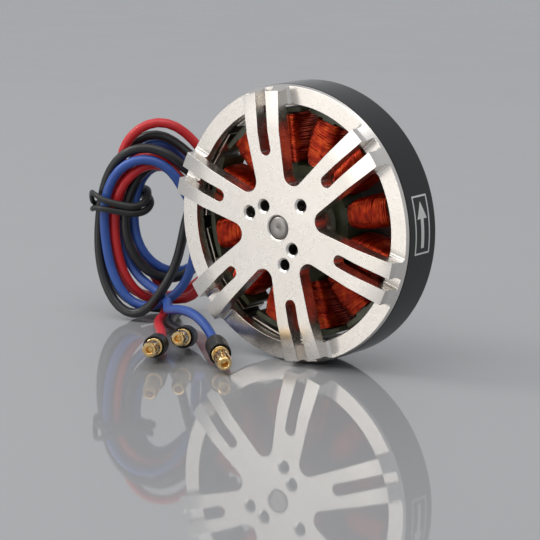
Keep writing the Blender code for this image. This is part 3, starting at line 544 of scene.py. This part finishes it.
def even(points, step):
    """The same path with evenly spaced points."""
    runs = np.r_[0.0, np.cumsum(np.linalg.norm(np.diff(points, axis=0), axis=1))]
    count = max(2, int(round(runs[-1] / step)) + 1)
    at = np.linspace(0.0, runs[-1], count)
    return np.stack([np.interp(at, runs, points[:, i]) for i in range(3)], axis=1)


def fitted(points, count):
    """The same path with this many points, closer together where it bends."""
    fine = even(points, 0.5)
    ahead = np.diff(fine, axis=0)
    ahead /= np.linalg.norm(ahead, axis=1)[:, None]
    turn = np.linalg.norm(np.diff(ahead, axis=0), axis=1) / 0.5
    weight = np.convolve(np.r_[turn[0], turn, turn[-1]], np.ones(9) / 9, "same")[: len(fine) - 1]
    runs = np.r_[0.0, np.cumsum(1.0 + 9.0 * weight)]
    at = np.linspace(0.0, runs[-1], count)
    return np.stack([np.interp(at, runs, fine[:, i]) for i in range(3)], axis=1)


def smooth_path(points, step):
    """A Catmull-Rom curve with centripetal spacing through the points."""
    p = np.array([tuple(q) for q in points], float)
    p = np.vstack([2 * p[0] - p[1], p, 2 * p[-1] - p[-2]])
    out = []
    for i in range(1, len(p) - 2):
        a, b, c, d = p[i - 1 : i + 3]
        t1 = np.linalg.norm(b - a) ** 0.5
        t2 = t1 + np.linalg.norm(c - b) ** 0.5
        t3 = t2 + np.linalg.norm(d - c) ** 0.5
        t = np.linspace(t1, t2, 24, endpoint=False)[:, None]
        a1 = (t1 - t) / t1 * a + t / t1 * b
        a2 = (t2 - t) / (t2 - t1) * b + (t - t1) / (t2 - t1) * c
        a3 = (t3 - t) / (t3 - t2) * c + (t - t2) / (t3 - t2) * d
        b1 = (t2 - t) / t2 * a1 + t / t2 * a2
        b2 = (t3 - t) / (t3 - t1) * a2 + (t - t1) / (t3 - t1) * a3
        out.append((t2 - t) / (t2 - t1) * b1 + (t - t1) / (t2 - t1) * b2)
    out.append(p[-2][None])
    return even(np.vstack(out), step)


def settle(paths, step, gap=2.72, floor=1.35):
    """Parts the leads where they would run through each other, and keeps them smooth and off the floor."""
    aims = [p.copy() for p in paths]
    for turn in range(700):
        last = turn >= 630
        points = np.vstack(paths)
        owner = np.concatenate([np.full(len(p), i) for i, p in enumerate(paths)])
        order = np.concatenate([np.arange(len(p)) for p in paths])
        away = points[:, None] - points[None]
        far = np.linalg.norm(away, axis=2)
        far[(owner[:, None] == owner[None]) & (abs(order[:, None] - order[None]) * step < 9.0)] = 1e9
        reach = gap if last else gap + 0.1
        push = np.where(far < reach, (reach - far) / 2, 0.0)
        shift = (away / np.maximum(far, 1e-6)[..., None] * push[..., None]).sum(axis=1)
        shift = shift * (0.35 if last else 0.5)
        at = 0
        for i, path in enumerate(paths):
            n = len(path)
            new = path + shift[at : at + n]
            at += n
            if not last:
                new += 0.008 * (aims[i] - path)
                bend = np.zeros_like(new)
                bend[2:-2] = (-new[:-4] + 4 * new[1:-3] - 6 * new[2:-2] + 4 * new[3:-1] - new[4:]) / 16
                new += 0.6 * bend
            new[:, 2] = np.maximum(new[:, 2], floor)
            keep = 3
            new[:keep], new[-keep:] = aims[i][:keep], aims[i][-keep:]
            paths[i] = new
    return paths


def lead_paths(step=2.5):
    paths = []
    for (turns, tail, tip, (degrees, rise)), z in zip(LEADS.values(), EXITS):
        out = heading(degrees, rise)
        base = Vector(tip) - out * PLUG_L
        points = [Vector((x, 9.0, AXIS_Z + z)) for x in (-15.5, -18.6, -22.6)]
        points += [in_loop(*turn) for turn in turns] + [Vector(q) for q in tail]
        points += [base - out * 3.0, base, base + out * 4.0]
        paths.append(smooth_path(points, step))
    return settle(paths, step)


def build_lead(name, path, look):
    """One lead as a round curve along its settled path."""
    points = fitted(path, 420)
    curve = bpy.data.curves.new(f"lead_{name}", "CURVE")
    curve.dimensions = "3D"
    curve.bevel_depth = LEAD_R * MM
    curve.bevel_resolution = 6
    curve.use_fill_caps = True
    curve.materials.append(look)
    line = curve.splines.new("POLY")
    line.points.add(len(points) - 1)
    line.use_smooth = True
    for spot, place in zip(line.points, points):
        spot.co = (*(place * MM), 1.0)
    lead = bpy.data.objects.new(f"silicone_lead_{name}", curve)
    bpy.context.scene.collection.objects.link(lead)
    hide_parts(f"lead_{name}")
    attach(lead, "stator")
    return lead, points


# ---- rotor ----
def piece(obj, body, slot, *nodes):
    """Turns a finished shape into metres and hands it to the frame in place of its CAD nodes."""
    to_metres(obj)
    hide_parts(*nodes)
    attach(obj, body)
    return obj


def joined(objects):
    """Several separate shapes as one object."""
    work = bmesh.new()
    for obj in objects:
        work.from_mesh(obj.data)
    work.to_mesh(objects[0].data)
    work.free()
    for obj in objects[1:]:
        bpy.data.objects.remove(obj, do_unlink=True)
    return objects[0]


def spoke_half(r):
    """Half the width of a forked spoke at this radius."""
    return 4.0 + (r - 11.6) * SPOKE_TAPER


def threaded_hole(x, z, y0, y1, r, pitch=0.5, depth=0.24):
    """A cutter for a tapped hole: a round bar with a groove for each turn of the thread."""
    profile, y = [(0.0, y0), (r, y0)], y0 + pitch
    while y < y1 - pitch:
        profile += [(r, y), (r + depth, y + pitch / 2)]
        y += pitch
    profile += [(r, y1), (0.0, y1)]
    return spun("hole", profile, 28, None, (x, 0.0, z), (0, 1, 0))


def build_bell():
    """The bell: hub, plate and rim turned from one billet, then windows and fork slots milled out of it."""
    profile = [
        (2.62, FRONT + 0.3), (2.92, FRONT), (FLAT_R, FRONT), (TIP_R, TIP_Y), (TIP_R, TIP_BACK),
        (OUTER_R, SHOULDER - 0.15), (28.7, SHOULDER - 0.15), (28.7, -3.95), (BELL_BORE, -3.95),
        (BELL_BORE, PLATE_BACK), (BOSS_R + 0.6, PLATE_BACK), (BOSS_R, PLATE_BACK + 0.6),
        (BOSS_R, BOSS_BACK + 0.3), (BOSS_R - 0.3, BOSS_BACK), (2.62, BOSS_BACK),
    ]
    body = shaft_turned("bell", profile, 300, satin_aluminium())
    lean = math.atan(SPOKE_TAPER)
    flank = math.radians(30.0) - lean
    tip_r = 2.5
    tip_c = (tip_r + spoke_half(0.0) * math.cos(lean)) / math.sin(flank)
    tip_turn = 90.0 + math.degrees(flank)
    far = 34.0
    windows, slots = [], []
    for k in range(SPOKES):
        centre = SPOKE_PHASE + 360.0 / SPOKES * k
        side = turned([(far, spoke_half(far))], -30.0)[0]
        tip = arc(tip_c, 0.0, tip_r, tip_turn, 360.0 - tip_turn, 24)
        outline = [(side[0], -abs(side[1])), (side[0], abs(side[1]))] + tip
        window = prism("window", turned(outline, centre + 30.0), -14.0, POCKET_Y)
        windows.append(round_floor(window, POCKET_Y, 0.9))
        slot = [(36.0, -SLOT_HALF), (36.0, SLOT_HALF)] + arc(SLOT_START, 0.0, SLOT_HALF, 90.0, 270.0, 20)
        slots.append(round_floor(prism("slot", turned(slot, centre), -14.0, POCKET_Y), POCKET_Y, 0.35, 3))
    grubs = [rod("grub", on_axis(1.0, t, -5.9), on_axis(12.0, t, -5.9), 1.5, 24) for t in (101.5, -18.5)]
    cut(body, [joined(windows), joined(slots), joined(grubs)])
    eased(body, 0.11, 32.0)
    # The tapped holes come after the edges are broken, so that their threads stay sharp
    holes, sinks = [], []
    for r, degrees in HUB_HOLES:
        x, _, z = on_axis(r, degrees, 0.0)
        holes.append(threaded_hole(x, z, -14.0, 0.0, 1.25))
        place = (x, FRONT - 0.42, z)
        sinks.append(spun("sink", [(0, 0), (2.15, 0), (1.25, 0.8), (0, 0.8)], 28, None, place, (0, 1, 0)))
    cut(body, [joined(holes), joined(sinks)])
    flat_shaded(body)
    return piece(body, "rotor", "satin_aluminium", "rotor_bell")


def wrapped(name, strips, radius, thick, look):
    """Thin print on the flux ring. Each strip has two ends along the rim, and the two edges at each end."""
    verts, faces = [], []
    for s0, s1, (a0, b0), (a1, b1) in strips:
        steps = max(1, int(abs(s1 - s0) / 0.35))
        start = len(verts)
        for i in range(steps + 1):
            t = i / steps
            angle = (s0 + (s1 - s0) * t) / radius
            c, s = math.cos(angle), math.sin(angle)
            for r in (radius - 0.02, radius + thick):
                for y in (a0 + (a1 - a0) * t, b0 + (b1 - b0) * t):
                    verts.append((r * c, y, AXIS_Z + r * s))
        for i in range(steps):
            a, b = start + 4 * i, start + 4 * i + 4
            faces += [(a + p, a + q, b + q, b + p) for p, q in ((0, 1), (1, 3), (3, 2), (2, 0))]
        last = start + 4 * steps
        faces += [(start, start + 2, start + 3, start + 1), (last, last + 1, last + 3, last + 2)]
    return mesh_object(name, verts, faces, look)


def build_flux_ring():
    c = 0.22
    profile = [
        (RING_IN, SHOULDER + 0.1), (RING_IN + 0.1, SHOULDER), (OUTER_R - c, SHOULDER),
        (OUTER_R - 0.06, SHOULDER + 0.08), (OUTER_R, SHOULDER + c), (OUTER_R, RING_REAR - c),
        (OUTER_R - 0.06, RING_REAR - 0.08), (OUTER_R - c, RING_REAR), (RING_IN + 0.25, RING_REAR),
        (RING_IN, RING_REAR - 0.25),
    ]
    ring = shaft_turned("steel_flux_ring", profile, 300, gloss_black(), smooth=20.0)
    piece(ring, "rotor", "gloss_black_steel", "flux_ring")
    # A plain printed panel with an arrow for the direction of turning
    y0, y1, line = -3.3, 2.2, 0.4
    s0, s1 = -3.9, 9.2
    strips = [(s0, s1, (y0, y0 + line), (y0, y0 + line)), (s0, s1, (y1 - line, y1), (y1 - line, y1))]
    strips += [(s, s + line, (y0 + line, y1 - line), (y0 + line, y1 - line)) for s in (s0, s1 - line)]
    middle = (y0 + y1) / 2
    strips += [(s0 + 1.4, s1 - 5.2, (middle - 0.55, middle + 0.55), (middle - 0.55, middle + 0.55))]
    strips += [(s1 - 5.2, s1 - 1.4, (middle - 1.75, middle + 1.75), (middle - 0.02, middle + 0.02))]
    mark = wrapped("ring_mark", strips, OUTER_R, 0.012, white_print())
    to_metres(mark)
    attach(mark, "rotor")


def build_magnets():
    look = nickel()
    low, high = corners("magnet_01")
    inside, outside, half, phase = 26.5, 28.85, 4.65, 18.6
    reach = math.degrees(math.asin(half / outside))
    block = [(inside, -half), (inside, half)] + list(reversed(arc(0.0, 0.0, outside, -reach, reach, 16)))
    for k in range(14):
        magnet = prism("block", turned(block, phase + 360.0 * k / 14), low.y, high.y, look)
        magnet.name = f"magnet_block_{k + 1:02d}"
        eased(magnet, 0.22, 40.0, 3)
        piece(magnet, "rotor", "nickel_plate", f"magnet_{k + 1:02d}")


def chamfered(inside, outside, y0, y1, c):
    """The section of a ring with chamfered edges."""
    section = [(inside, y0 + c), (inside + c, y0), (outside - c, y0), (outside, y0 + c)]
    return section + [(outside, y1 - c), (outside - c, y1), (inside + c, y1), (inside, y1 - c)]


def build_shaft():
    r, end = 2.5, SHAFT_END
    profile = [
        (0.0, FRONT + 0.2), (0.1, FRONT + 0.18), (0.3, FRONT + 0.07), (0.36, FRONT + 0.05),
        (r - 0.4, FRONT + 0.03), (r - 0.34, FRONT + 0.05), (r, FRONT + 0.4), (r, 10.15), (2.05, 10.15),
        (2.05, 10.75), (r, 10.75), (r - 0.2, end), (0.5, end), (0.0, end - 0.4),
    ]
    shaft = shaft_turned("steel_shaft", profile, 96, steel("ground_steel", (0.33, 0.315, 0.30), 0.36))
    piece(shaft, "rotor", "ground_steel", "shaft")
    washer = chamfered(2.65, 3.7, -3.93, -3.2, 0.08)
    piece(shaft_turned("shim_washer", washer, 64, steel("shim_steel")), "rotor", "ground_steel", "shim")
    ring = arc(0.0, 0.0, 4.1, 25.0, 335.0, 64) + list(reversed(arc(0.0, 0.0, 2.25, 25.0, 335.0, 64)))
    spring = steel("spring_steel", (0.2, 0.2, 0.2), 0.35)
    clip = prism("retaining_ring", turned(ring, 90.0), 10.22, 10.68, spring)
    piece(eased(clip, 0.06, 40.0, 2), "rotor", "ground_steel", "circlip")
    look = steel("black_oxide", (0.08, 0.08, 0.08), 0.35)
    for k, degrees in enumerate((101.5, -18.5)):
        start = Vector(on_axis(3.0, degrees, -5.9))
        out = start - Vector((0.0, -5.9, AXIS_Z))
        length = 4.2
        profile = [(0.0, 0.0), (0.85, 0.0), (1.1, 0.25)]
        for i in range(7):
            profile += [(1.12, 0.35 + 0.5 * i), (1.38, 0.6 + 0.5 * i)]
        profile += [(1.2, length), (0.8, length), (0.75, length - 0.1)]
        profile += [(0.75, length - 1.6), (0.0, length - 1.8)]
        screw = spun(f"set_screw_{k + 1}", profile, 24, look, start, out)
        piece(screw, "rotor", "ground_steel", f"grub_screw_{k + 1}")


def build_bearings():
    races = steel("race_steel", (0.6, 0.6, 0.61), 0.16, 0.0008)
    for which, y0 in (("front", -3.0), ("rear", 5.7)):
        y1, c = y0 + 4.0, 0.22
        mid = (y0 + y1) / 2
        outer = [(5.6, y0 + 0.1), (5.7, y0), (6.5 - c, y0), (6.47, y0 + c / 2), (6.5, y0 + c)]
        outer += [(6.5, y1 - c), (6.5 - c, y1), (5.7, y1), (5.6, y1 - 0.1)]
        outer += [(5.6, mid + 0.95), (5.48, mid + 0.9), (5.48, mid - 0.9), (5.6, mid - 0.95)]
        race = shaft_turned(f"outer_race_{which}", outer, 96, races)
        piece(race, "stator", "bearing_steel", f"bearing_{which}_outer_race")
        inner = [(2.62, y0 + 0.15), (2.77, y0), (3.35, y0), (3.45, y0 + 0.1), (3.45, mid - 0.95)]
        inner += [(3.56, mid - 0.9), (3.56, mid + 0.9), (3.45, mid + 0.95), (3.45, y1 - 0.1), (3.35, y1)]
        inner += [(2.77, y1), (2.62, y1 - 0.15)]
        race = shaft_turned(f"inner_race_{which}", inner, 96, races)
        piece(race, "rotor", "bearing_steel", f"bearing_{which}_inner_race")
        ring = chamfered(4.1, 4.95, mid + 0.2, mid + 1.4, 0.1)
        cage = shaft_turned(f"ball_cage_{which}", ring, 84, steel("cage_steel", (0.5, 0.42, 0.3), 0.3))
        pitch, ball = 4.52, 0.92
        slices = [math.pi * i / 14 for i in range(1, 14)]
        rings = [(0.0, -ball)] + [(ball * math.sin(t), -ball * math.cos(t)) for t in slices] + [(0.0, ball)]
        places = [on_axis(pitch, 360.0 * (k + 0.5) / 7, mid) for k in range(7)]
        balls = [spun("ball", rings, 24, None, place, (0, 1, 0)) for place in places]
        cut(cage, [joined(balls)], "UNION")
        finish_shading(cage, 35.0)
        piece(cage, f"{which}_cage", "bearing_steel", f"bearing_{which}_cage")


# ---- stator ----
def build_core():
    """The laminated core: yoke, teeth and wide tips, with edges rounded by its thick coating."""
    outline = []
    tip = math.degrees(math.asin(5.45 / CORE_R))
    root = math.degrees(math.asin(TOOTH_HALF / YOKE_R))
    neck = math.degrees(math.asin(TOOTH_HALF / TIP_IN))
    for k in range(TEETH):
        centre = TOOTH_PHASE + 360.0 / TEETH * k
        points = [(YOKE_R, -15.0 + (15.0 - root) * i / 4) for i in range(5)]
        points += [(TIP_IN, -neck), (TIP_IN + 0.35, -tip), (CORE_R, -tip)]
        points += [(CORE_R, tip * (i / 8 - 1)) for i in range(1, 16)]
        points += [(CORE_R, tip), (TIP_IN + 0.35, tip), (TIP_IN, neck)]
        points += [(YOKE_R, root + (15.0 - root) * i / 4) for i in range(4)]
        for r, degrees in points:
            a = math.radians(centre + degrees)
            outline.append((r * math.cos(a), r * math.sin(a)))
    core = prism("laminated_core", outline, core_low.y, core_high.y, green_coating())
    cut(core, [rod("bore", (0.0, -10.0, AXIS_Z), (0.0, 12.0, AXIS_Z), CORE_BORE, 96)])
    return piece(eased(core, 0.16, 30.0, 3), "stator", "green_core_coating", "stator_core")


def tube(points, radius, sides, side_of):
    """Verts and faces of a capped round tube along points, which never run along the direction `side_of`."""
    points = np.asarray(points)
    ahead = np.gradient(points, axis=0)
    ahead /= np.linalg.norm(ahead, axis=1)[:, None]
    left = np.cross(ahead, side_of)
    left /= np.linalg.norm(left, axis=1)[:, None]
    up = np.cross(left, ahead)
    turns = np.linspace(0.0, 2 * np.pi, sides, endpoint=False)
    out = np.cos(turns)[:, None] * left[:, None] + np.sin(turns)[:, None] * up[:, None]
    rings = points[:, None] + radius * out
    faces = []
    for i in range(len(points) - 1):
        a, b = i * sides, (i + 1) * sides
        faces += [(a + k, a + (k + 1) % sides, b + (k + 1) % sides, b + k) for k in range(sides)]
    last = (len(points) - 1) * sides
    faces += [tuple(reversed(range(sides))), tuple(range(last, last + sides))]
    return rings.reshape(-1, 3), faces


WIRE = 0.2
COIL_IN, COIL_OUT = 13.4, 24.5
WOUND = (13.75, 24.15)


def loop_point(r, turn, lift):
    """A point of a turn at this radius: a rounded rectangle round the tooth, wider towards its tip."""
    width = np.interp(r, (COIL_IN, 15.5, 19.0, COIL_OUT), (2.85, 3.4, 3.7, 3.75)) - WIRE + lift
    arch = (coil_high.y - coil_low.y) / 2 - WIRE + lift - 0.55 * np.abs((r - 18.95) / 5.55) ** 3
    c, s = np.cos(turn), np.sin(turn)
    across = width * np.sign(c) * np.abs(c) ** 0.5
    along = (coil_high.y + coil_low.y) / 2 + arch * np.sign(s) * np.abs(s) ** 0.62
    return across, along


def drift(rng, count, knots, size):
    """A slow random wandering of this size over a number of points."""
    return np.interp(np.arange(count), np.linspace(0, count, knots), rng.normal(0, size, knots))


def strand(rng, first, last, turns, skew, lift, wander, per_turn=34):
    """One wire wound round the tooth from one radius to another, with the small wanderings of a hand."""
    count = int(turns * per_turn)
    turn = np.linspace(0.0, turns * 2 * np.pi, count)
    # Even spacing along the rounded rectangle, whose corners would otherwise gather the points
    phase = turn - 0.16 * np.sin(4 * turn)
    base = np.linspace(first, last, count)
    smooth = drift(rng, count, int(turns * 5) + 2, wander)
    rise = drift(rng, count, int(turns * 4) + 2, 0.09)
    r = np.clip(base + skew * np.cos(turn) + smooth, COIL_IN + WIRE, COIL_OUT - WIRE)
    across, along = loop_point(r, phase, lift + np.clip(rise, -0.22, 0.06))
    return np.stack([r, along, across], axis=1)


def build_coils():
    """Twelve windings, each a filling under a closely wound layer and a few crossing strands."""
    look = enamel("enamelled_copper", (0.28, 0.012, 0.004), (0.60, 0.040, 0.008), (0.90, 0.14, 0.022))
    for number in range(1, TEETH + 1):
        rng = np.random.default_rng(40 + number)
        verts, faces = [], []
        runs = [strand(rng, WOUND[0], WOUND[1], 25, 0.22, -0.14, 0.07)]
        for _ in range(9):
            start = rng.uniform(14.0, 21.5)
            end = start + rng.uniform(1.0, 2.0)
            runs.append(strand(rng, start, end, 3.0, rng.uniform(0.4, 1.1), 0.0, 0.09))
        for run in runs:
            points, sides = tube(run, WIRE, 6, (1.0, 0.0, 0.0))
            faces += [tuple(i + len(verts) for i in face) for face in sides]
            verts += points.tolist()
        # The filling under the visible layer
        ring = 28
        start = len(verts)
        radii = np.linspace(WOUND[0] - 0.2, WOUND[1] + 0.2, 7)
        hole_x, hole_y = TOOTH_HALF + 0.15, (core_high.y - core_low.y) / 2 + 0.15
        mid = (core_high.y + core_low.y) / 2
        for r in radii:
            for k in range(ring):
                across, along = loop_point(r, 2 * math.pi * k / ring, -0.42)
                verts.append([r, float(along), float(across)])
            for k in range(ring):
                t = 2 * math.pi * k / ring
                c, s = math.cos(t), math.sin(t)
                scale = 1.0 / max(abs(c), abs(s))
                verts.append([r, mid + hole_y * s * scale, hole_x * c * scale])
        for j in range(len(radii) - 1):
            a, b = start + j * 2 * ring, start + (j + 1) * 2 * ring
            for k in range(ring):
                m = (k + 1) % ring
                faces.append((a + k, a + m, b + m, b + k))
                faces.append((a + ring + m, a + ring + k, b + ring + k, b + ring + m))
        end = start + (len(radii) - 1) * 2 * ring
        for k in range(ring):
            m = (k + 1) % ring
            faces += [(start + k, start + ring + k, start + ring + m, start + m)]
            faces += [(end + k, end + m, end + ring + m, end + ring + k)]
        a = math.radians(TOOTH_PHASE + 360.0 / TEETH * (number - 1))
        c, s = math.cos(a), math.sin(a)
        placed = [(r * c - t * s, y, AXIS_Z + r * s + t * c) for r, y, t in verts]
        coil = mesh_object(f"winding_{number:02d}", placed, faces, look, 50.0)
        piece(coil, "stator", "enamelled_copper", f"coil_{number:02d}")


def build_base():
    profile = [
        (6.65, -3.0), (6.95, -3.2), (7.85, -3.2), (8.0, -3.05), (8.0, 5.56), (10.0, 5.56),
        (10.0, PLATE_Y - 0.2), (10.2, PLATE_Y), (PLATE_R - 0.2, PLATE_Y), (PLATE_R, PLATE_Y + 0.2),
        (PLATE_R, REAR - 0.4), (PLATE_R - 0.4, REAR), (7.0, REAR),
        (6.65, REAR - 0.35), (6.65, 5.55), (5.7, 5.55), (5.7, 1.15), (6.65, 1.15),
    ]
    base = shaft_turned("mount_base", profile, 240, turned_aluminium())
    # The leads' opening runs out through the rim
    gate = math.degrees(math.asin(GATE_HALF / GATE_R))
    outline = arc(0.0, 0.0, GATE_R, -29.0, -gate, 8) + [(30.0, -GATE_HALF), (30.0, GATE_HALF)]
    outline += arc(0.0, 0.0, GATE_R, gate, 29.0, 8) + list(reversed(arc(0.0, 0.0, GATE_IN, -27.0, 27.0, 24)))
    window = prism("window", turned(outline, 180.37), 7.03, 14.0)
    holes, sinks = [], []
    for k in range(4):
        x, _, z = on_axis(12.5, 45.0 + 90.0 * k, 0.0)
        holes.append(threaded_hole(x, z, 3.0, 14.0, 1.25))
        place = (x, REAR - 0.45, z)
        sinks.append(spun("sink", [(0, 0), (1.25, 0), (1.85, 0.6), (0, 0.6)], 28, None, place, (0, 1, 0)))
    cut(base, [window, joined(holes), joined(sinks)])
    eased(base, 0.12, 32.0)
    return piece(base, "stator", "turned_aluminium", "stator_base")


def build_grommet():
    block = [(-21.2, -4.8), (-18.0, -4.8), (-18.0, 4.8), (-21.2, 4.8)]
    grommet = prism("rubber_grommet", block, 7.4, 10.6, rubber())
    eased(grommet, 0.5, 40.0, 4)
    cut(grommet, [rod("hole", (-26.0, 9.0, AXIS_Z + z), (-14.0, 9.0, AXIS_Z + z), 1.28, 28) for z in EXITS])
    finish_shading(grommet, 30.0)
    return piece(grommet, "stator", "black_rubber", "lead_grommet")


# ---- plugs, sleeves and tie ----
def reshaped(obj, start, out, change):
    """Scales each point's distance from a line by what `change` makes of its radius, angle and place."""
    turn = Vector(out).to_track_quat("Z", "X").to_matrix()
    back = turn.inverted()
    for vertex in obj.data.vertices:
        local = back @ (vertex.co - start)
        scale = change(math.hypot(local.x, local.y), math.atan2(local.y, local.x), local.z)
        if scale != 1.0:
            vertex.co = start + turn @ Vector((local.x * scale, local.y * scale, local.z))
    return obj


def fluted(obj, start, out, low, high, count, depth):
    """Cuts lengthwise grooves into a turned shape between two distances along its own line."""

    def change(r, angle, z):
        if not (low < z < high and r > 1.3):
            return 1.0
        fade = math.sin(math.pi * (z - low) / (high - low)) ** 0.35
        groove = max(0.0, math.cos(count * angle)) ** 10
        return 1.0 - depth * fade * groove / r

    return reshaped(obj, start, out, change)


def wrinkled(obj, start, out, depth, seed):
    """Slight unevenness of a shrunk tube, the same round each turn of the noise."""
    rng = random.Random(seed)
    waves = []
    for _ in range(7):
        waves.append((rng.randint(1, 4), rng.uniform(0.3, 1.1), rng.uniform(0, 6.28), rng.uniform(0.4, 1.0)))

    def change(r, angle, z):
        lift = sum(size * math.sin(n * angle + pull * z + phase) for n, pull, phase, size in waves)
        return 1.0 + depth * (lift / 4.0) / max(r, 0.5)

    return reshaped(obj, start, out, change)


def build_plug(name, base, out, metal, tube_look):
    length, end = PLUG_L, SLEEVE_L
    spring = []
    for i in range(17):
        r = PLUG_R - 0.05 + 0.17 * math.sin(math.pi * i / 16)
        spring.append((r, end + 1.5 + (length - end - 2.5) * i / 16))
    profile = [(0.0, 4.7), (1.85, 4.7), (1.95, 4.8), (1.95, end + 0.35), (1.88, end + 0.42), (1.5, end + 0.5)]
    profile += [(1.5, end + 1.0), (1.62, end + 1.1)] + spring
    profile += [(1.62, length - 0.75), (1.5, length - 0.3), (1.32, length - 0.07), (1.1, length)]
    profile += [(0.88, length), (0.8, length - 0.08), (0.8, length - 3.0), (0.0, length - 3.4)]
    plug = spun(f"bullet_plug_{name}", profile, 72, metal, base, out, smooth=28.0)
    fluted(plug, base, out, end + 1.4, length - 0.9, 6, 0.42)
    finish_shading(plug, 28.0)
    piece(plug, "stator", "gold_plate", f"plug_{name}")
    sleeve = [(1.42, 0.3), (1.42, -0.25), (1.55, -0.42), (1.75, -0.3), (1.95, 0.05), (2.2, 0.55)]
    sleeve += [(2.42, 1.2), (2.52, 2.0)] + [(2.55, 2.4 + 0.5 * i) for i in range(13)]
    sleeve += [(2.54, end - 0.1), (2.47, end), (2.27, end), (2.2, end - 0.1), (2.2, 4.2), (1.7, 3.8)]
    sleeve += [(1.42, 3.4)]
    shrunk = spun(f"shrink_sleeve_{name}", sleeve, 64, tube_look, base, out, smooth=35.0)
    wrinkled(shrunk, base, out, 0.05, {"red": 3, "black": 5, "blue": 8}[name])
    piece(shrunk, "stator", "heat_shrink", f"sleeve_{name}")
    return plug, shrunk


def build_tie(look):
    """A rubber cord wound twice round the bundle: both runs cross its front and stand open inside."""
    # Place in the loop, and radius: the cord is stretched thin where it is tight on the leads
    low = [
        (-9.2, 26.6, 1.0, 0.62), (-8.8, 26.8, -1.8, 0.62), (-6.4, 26.6, -3.8, 0.75), (-2.4, 25.9, -4.0, 0.9),
        (1.0, 25.5, -3.7, 0.9), (3.6, 26.2, -1.8, 0.9), (4.9, 28.0, 1.2, 0.9), (4.2, 29.8, 4.8, 0.9),
        (2.4, 30.0, 7.6, 0.9), (-0.6, 29.4, 8.8, 0.9), (-5.0, 28.6, 8.0, 0.75), (-8.8, 28.2, 4.8, 0.62),
    ]
    high = [
        (-9.3, 30.6, 1.4, 0.62), (-8.6, 30.2, -1.9, 0.62), (-6.2, 28.7, -4.0, 0.75), (-2.4, 27.6, -4.2, 0.9),
        (1.0, 27.2, -3.8, 0.9), (3.2, 28.2, -2.0, 0.9), (4.2, 29.8, 0.6, 0.9), (4.0, 31.4, 4.4, 0.9),
        (2.2, 31.6, 7.0, 0.9), (-0.8, 30.8, 8.4, 0.9), (-5.0, 29.6, 7.8, 0.75), (-8.6, 27.2, 4.6, 0.62),
    ]
    points = [in_loop(*spot[:3]) for spot in low + high]
    count = len(points)
    dense = []
    for i in range(count):
        a, b, c, d = (points[(i + k) % count] for k in (-1, 0, 1, 2))
        for t in (0.0, 0.125, 0.25, 0.375, 0.5, 0.625, 0.75, 0.875):
            curved = (2 * a - 5 * b + 4 * c - d) * t * t + (3 * b - a - 3 * c + d) * t**3
            dense.append(0.5 * (2 * b + (c - a) * t + curved))
    total, sides = len(dense), 20
    thick = [spot[3] for spot in low + high + low[:1]]
    radii = np.interp(np.arange(total) * count / total, np.arange(count + 1), thick)
    verts, faces = [], []
    middle = sum(dense, Vector()) / total
    for i, spot in enumerate(dense):
        forward = (dense[(i + 1) % total] - dense[i - 1]).normalized()
        side = (spot - middle).cross(forward).normalized()
        up = forward.cross(side).normalized()
        for k in range(sides):
            t = 2 * math.pi * k / sides
            verts.append(tuple(spot + (side * math.cos(t) + up * math.sin(t)) * float(radii[i])))
    for i in range(total):
        a, b = i * sides, (i + 1) % total * sides
        faces += [(a + k, a + (k + 1) % sides, b + (k + 1) % sides, b + k) for k in range(sides)]
    tie = mesh_object("rubber_tie", verts, faces, look, 60.0)
    return piece(tie, "stator", "black_rubber", "lead_tie")


def build_all_leads():
    paths = lead_paths()
    looks = {
        "red": silicone("red_silicone", (0.55, 0.012, 0.018), (0.68, 0.028, 0.03)),
        "black": silicone("black_silicone", (0.010, 0.010, 0.011), (0.018, 0.018, 0.02), 0.4),
        "blue": silicone("blue_silicone", (0.03, 0.085, 0.36), (0.05, 0.13, 0.46)),
    }
    metal, tube_look = gold(), shrink_tube()
    for (name, (_, _, tip, (degrees, rise))), path, z in zip(LEADS.items(), paths, EXITS):
        lead, points = build_lead(name, path, looks[name])
        out = heading(degrees, rise)
        base = Vector(tip) - out * PLUG_L
        plug, sleeve = build_plug(name, base, out, metal, tube_look)
    build_tie(rubber())


build_all_leads()
build_bell()
build_flux_ring()
build_magnets()
build_shaft()
build_bearings()
build_core()
build_coils()
build_base()
build_grommet()
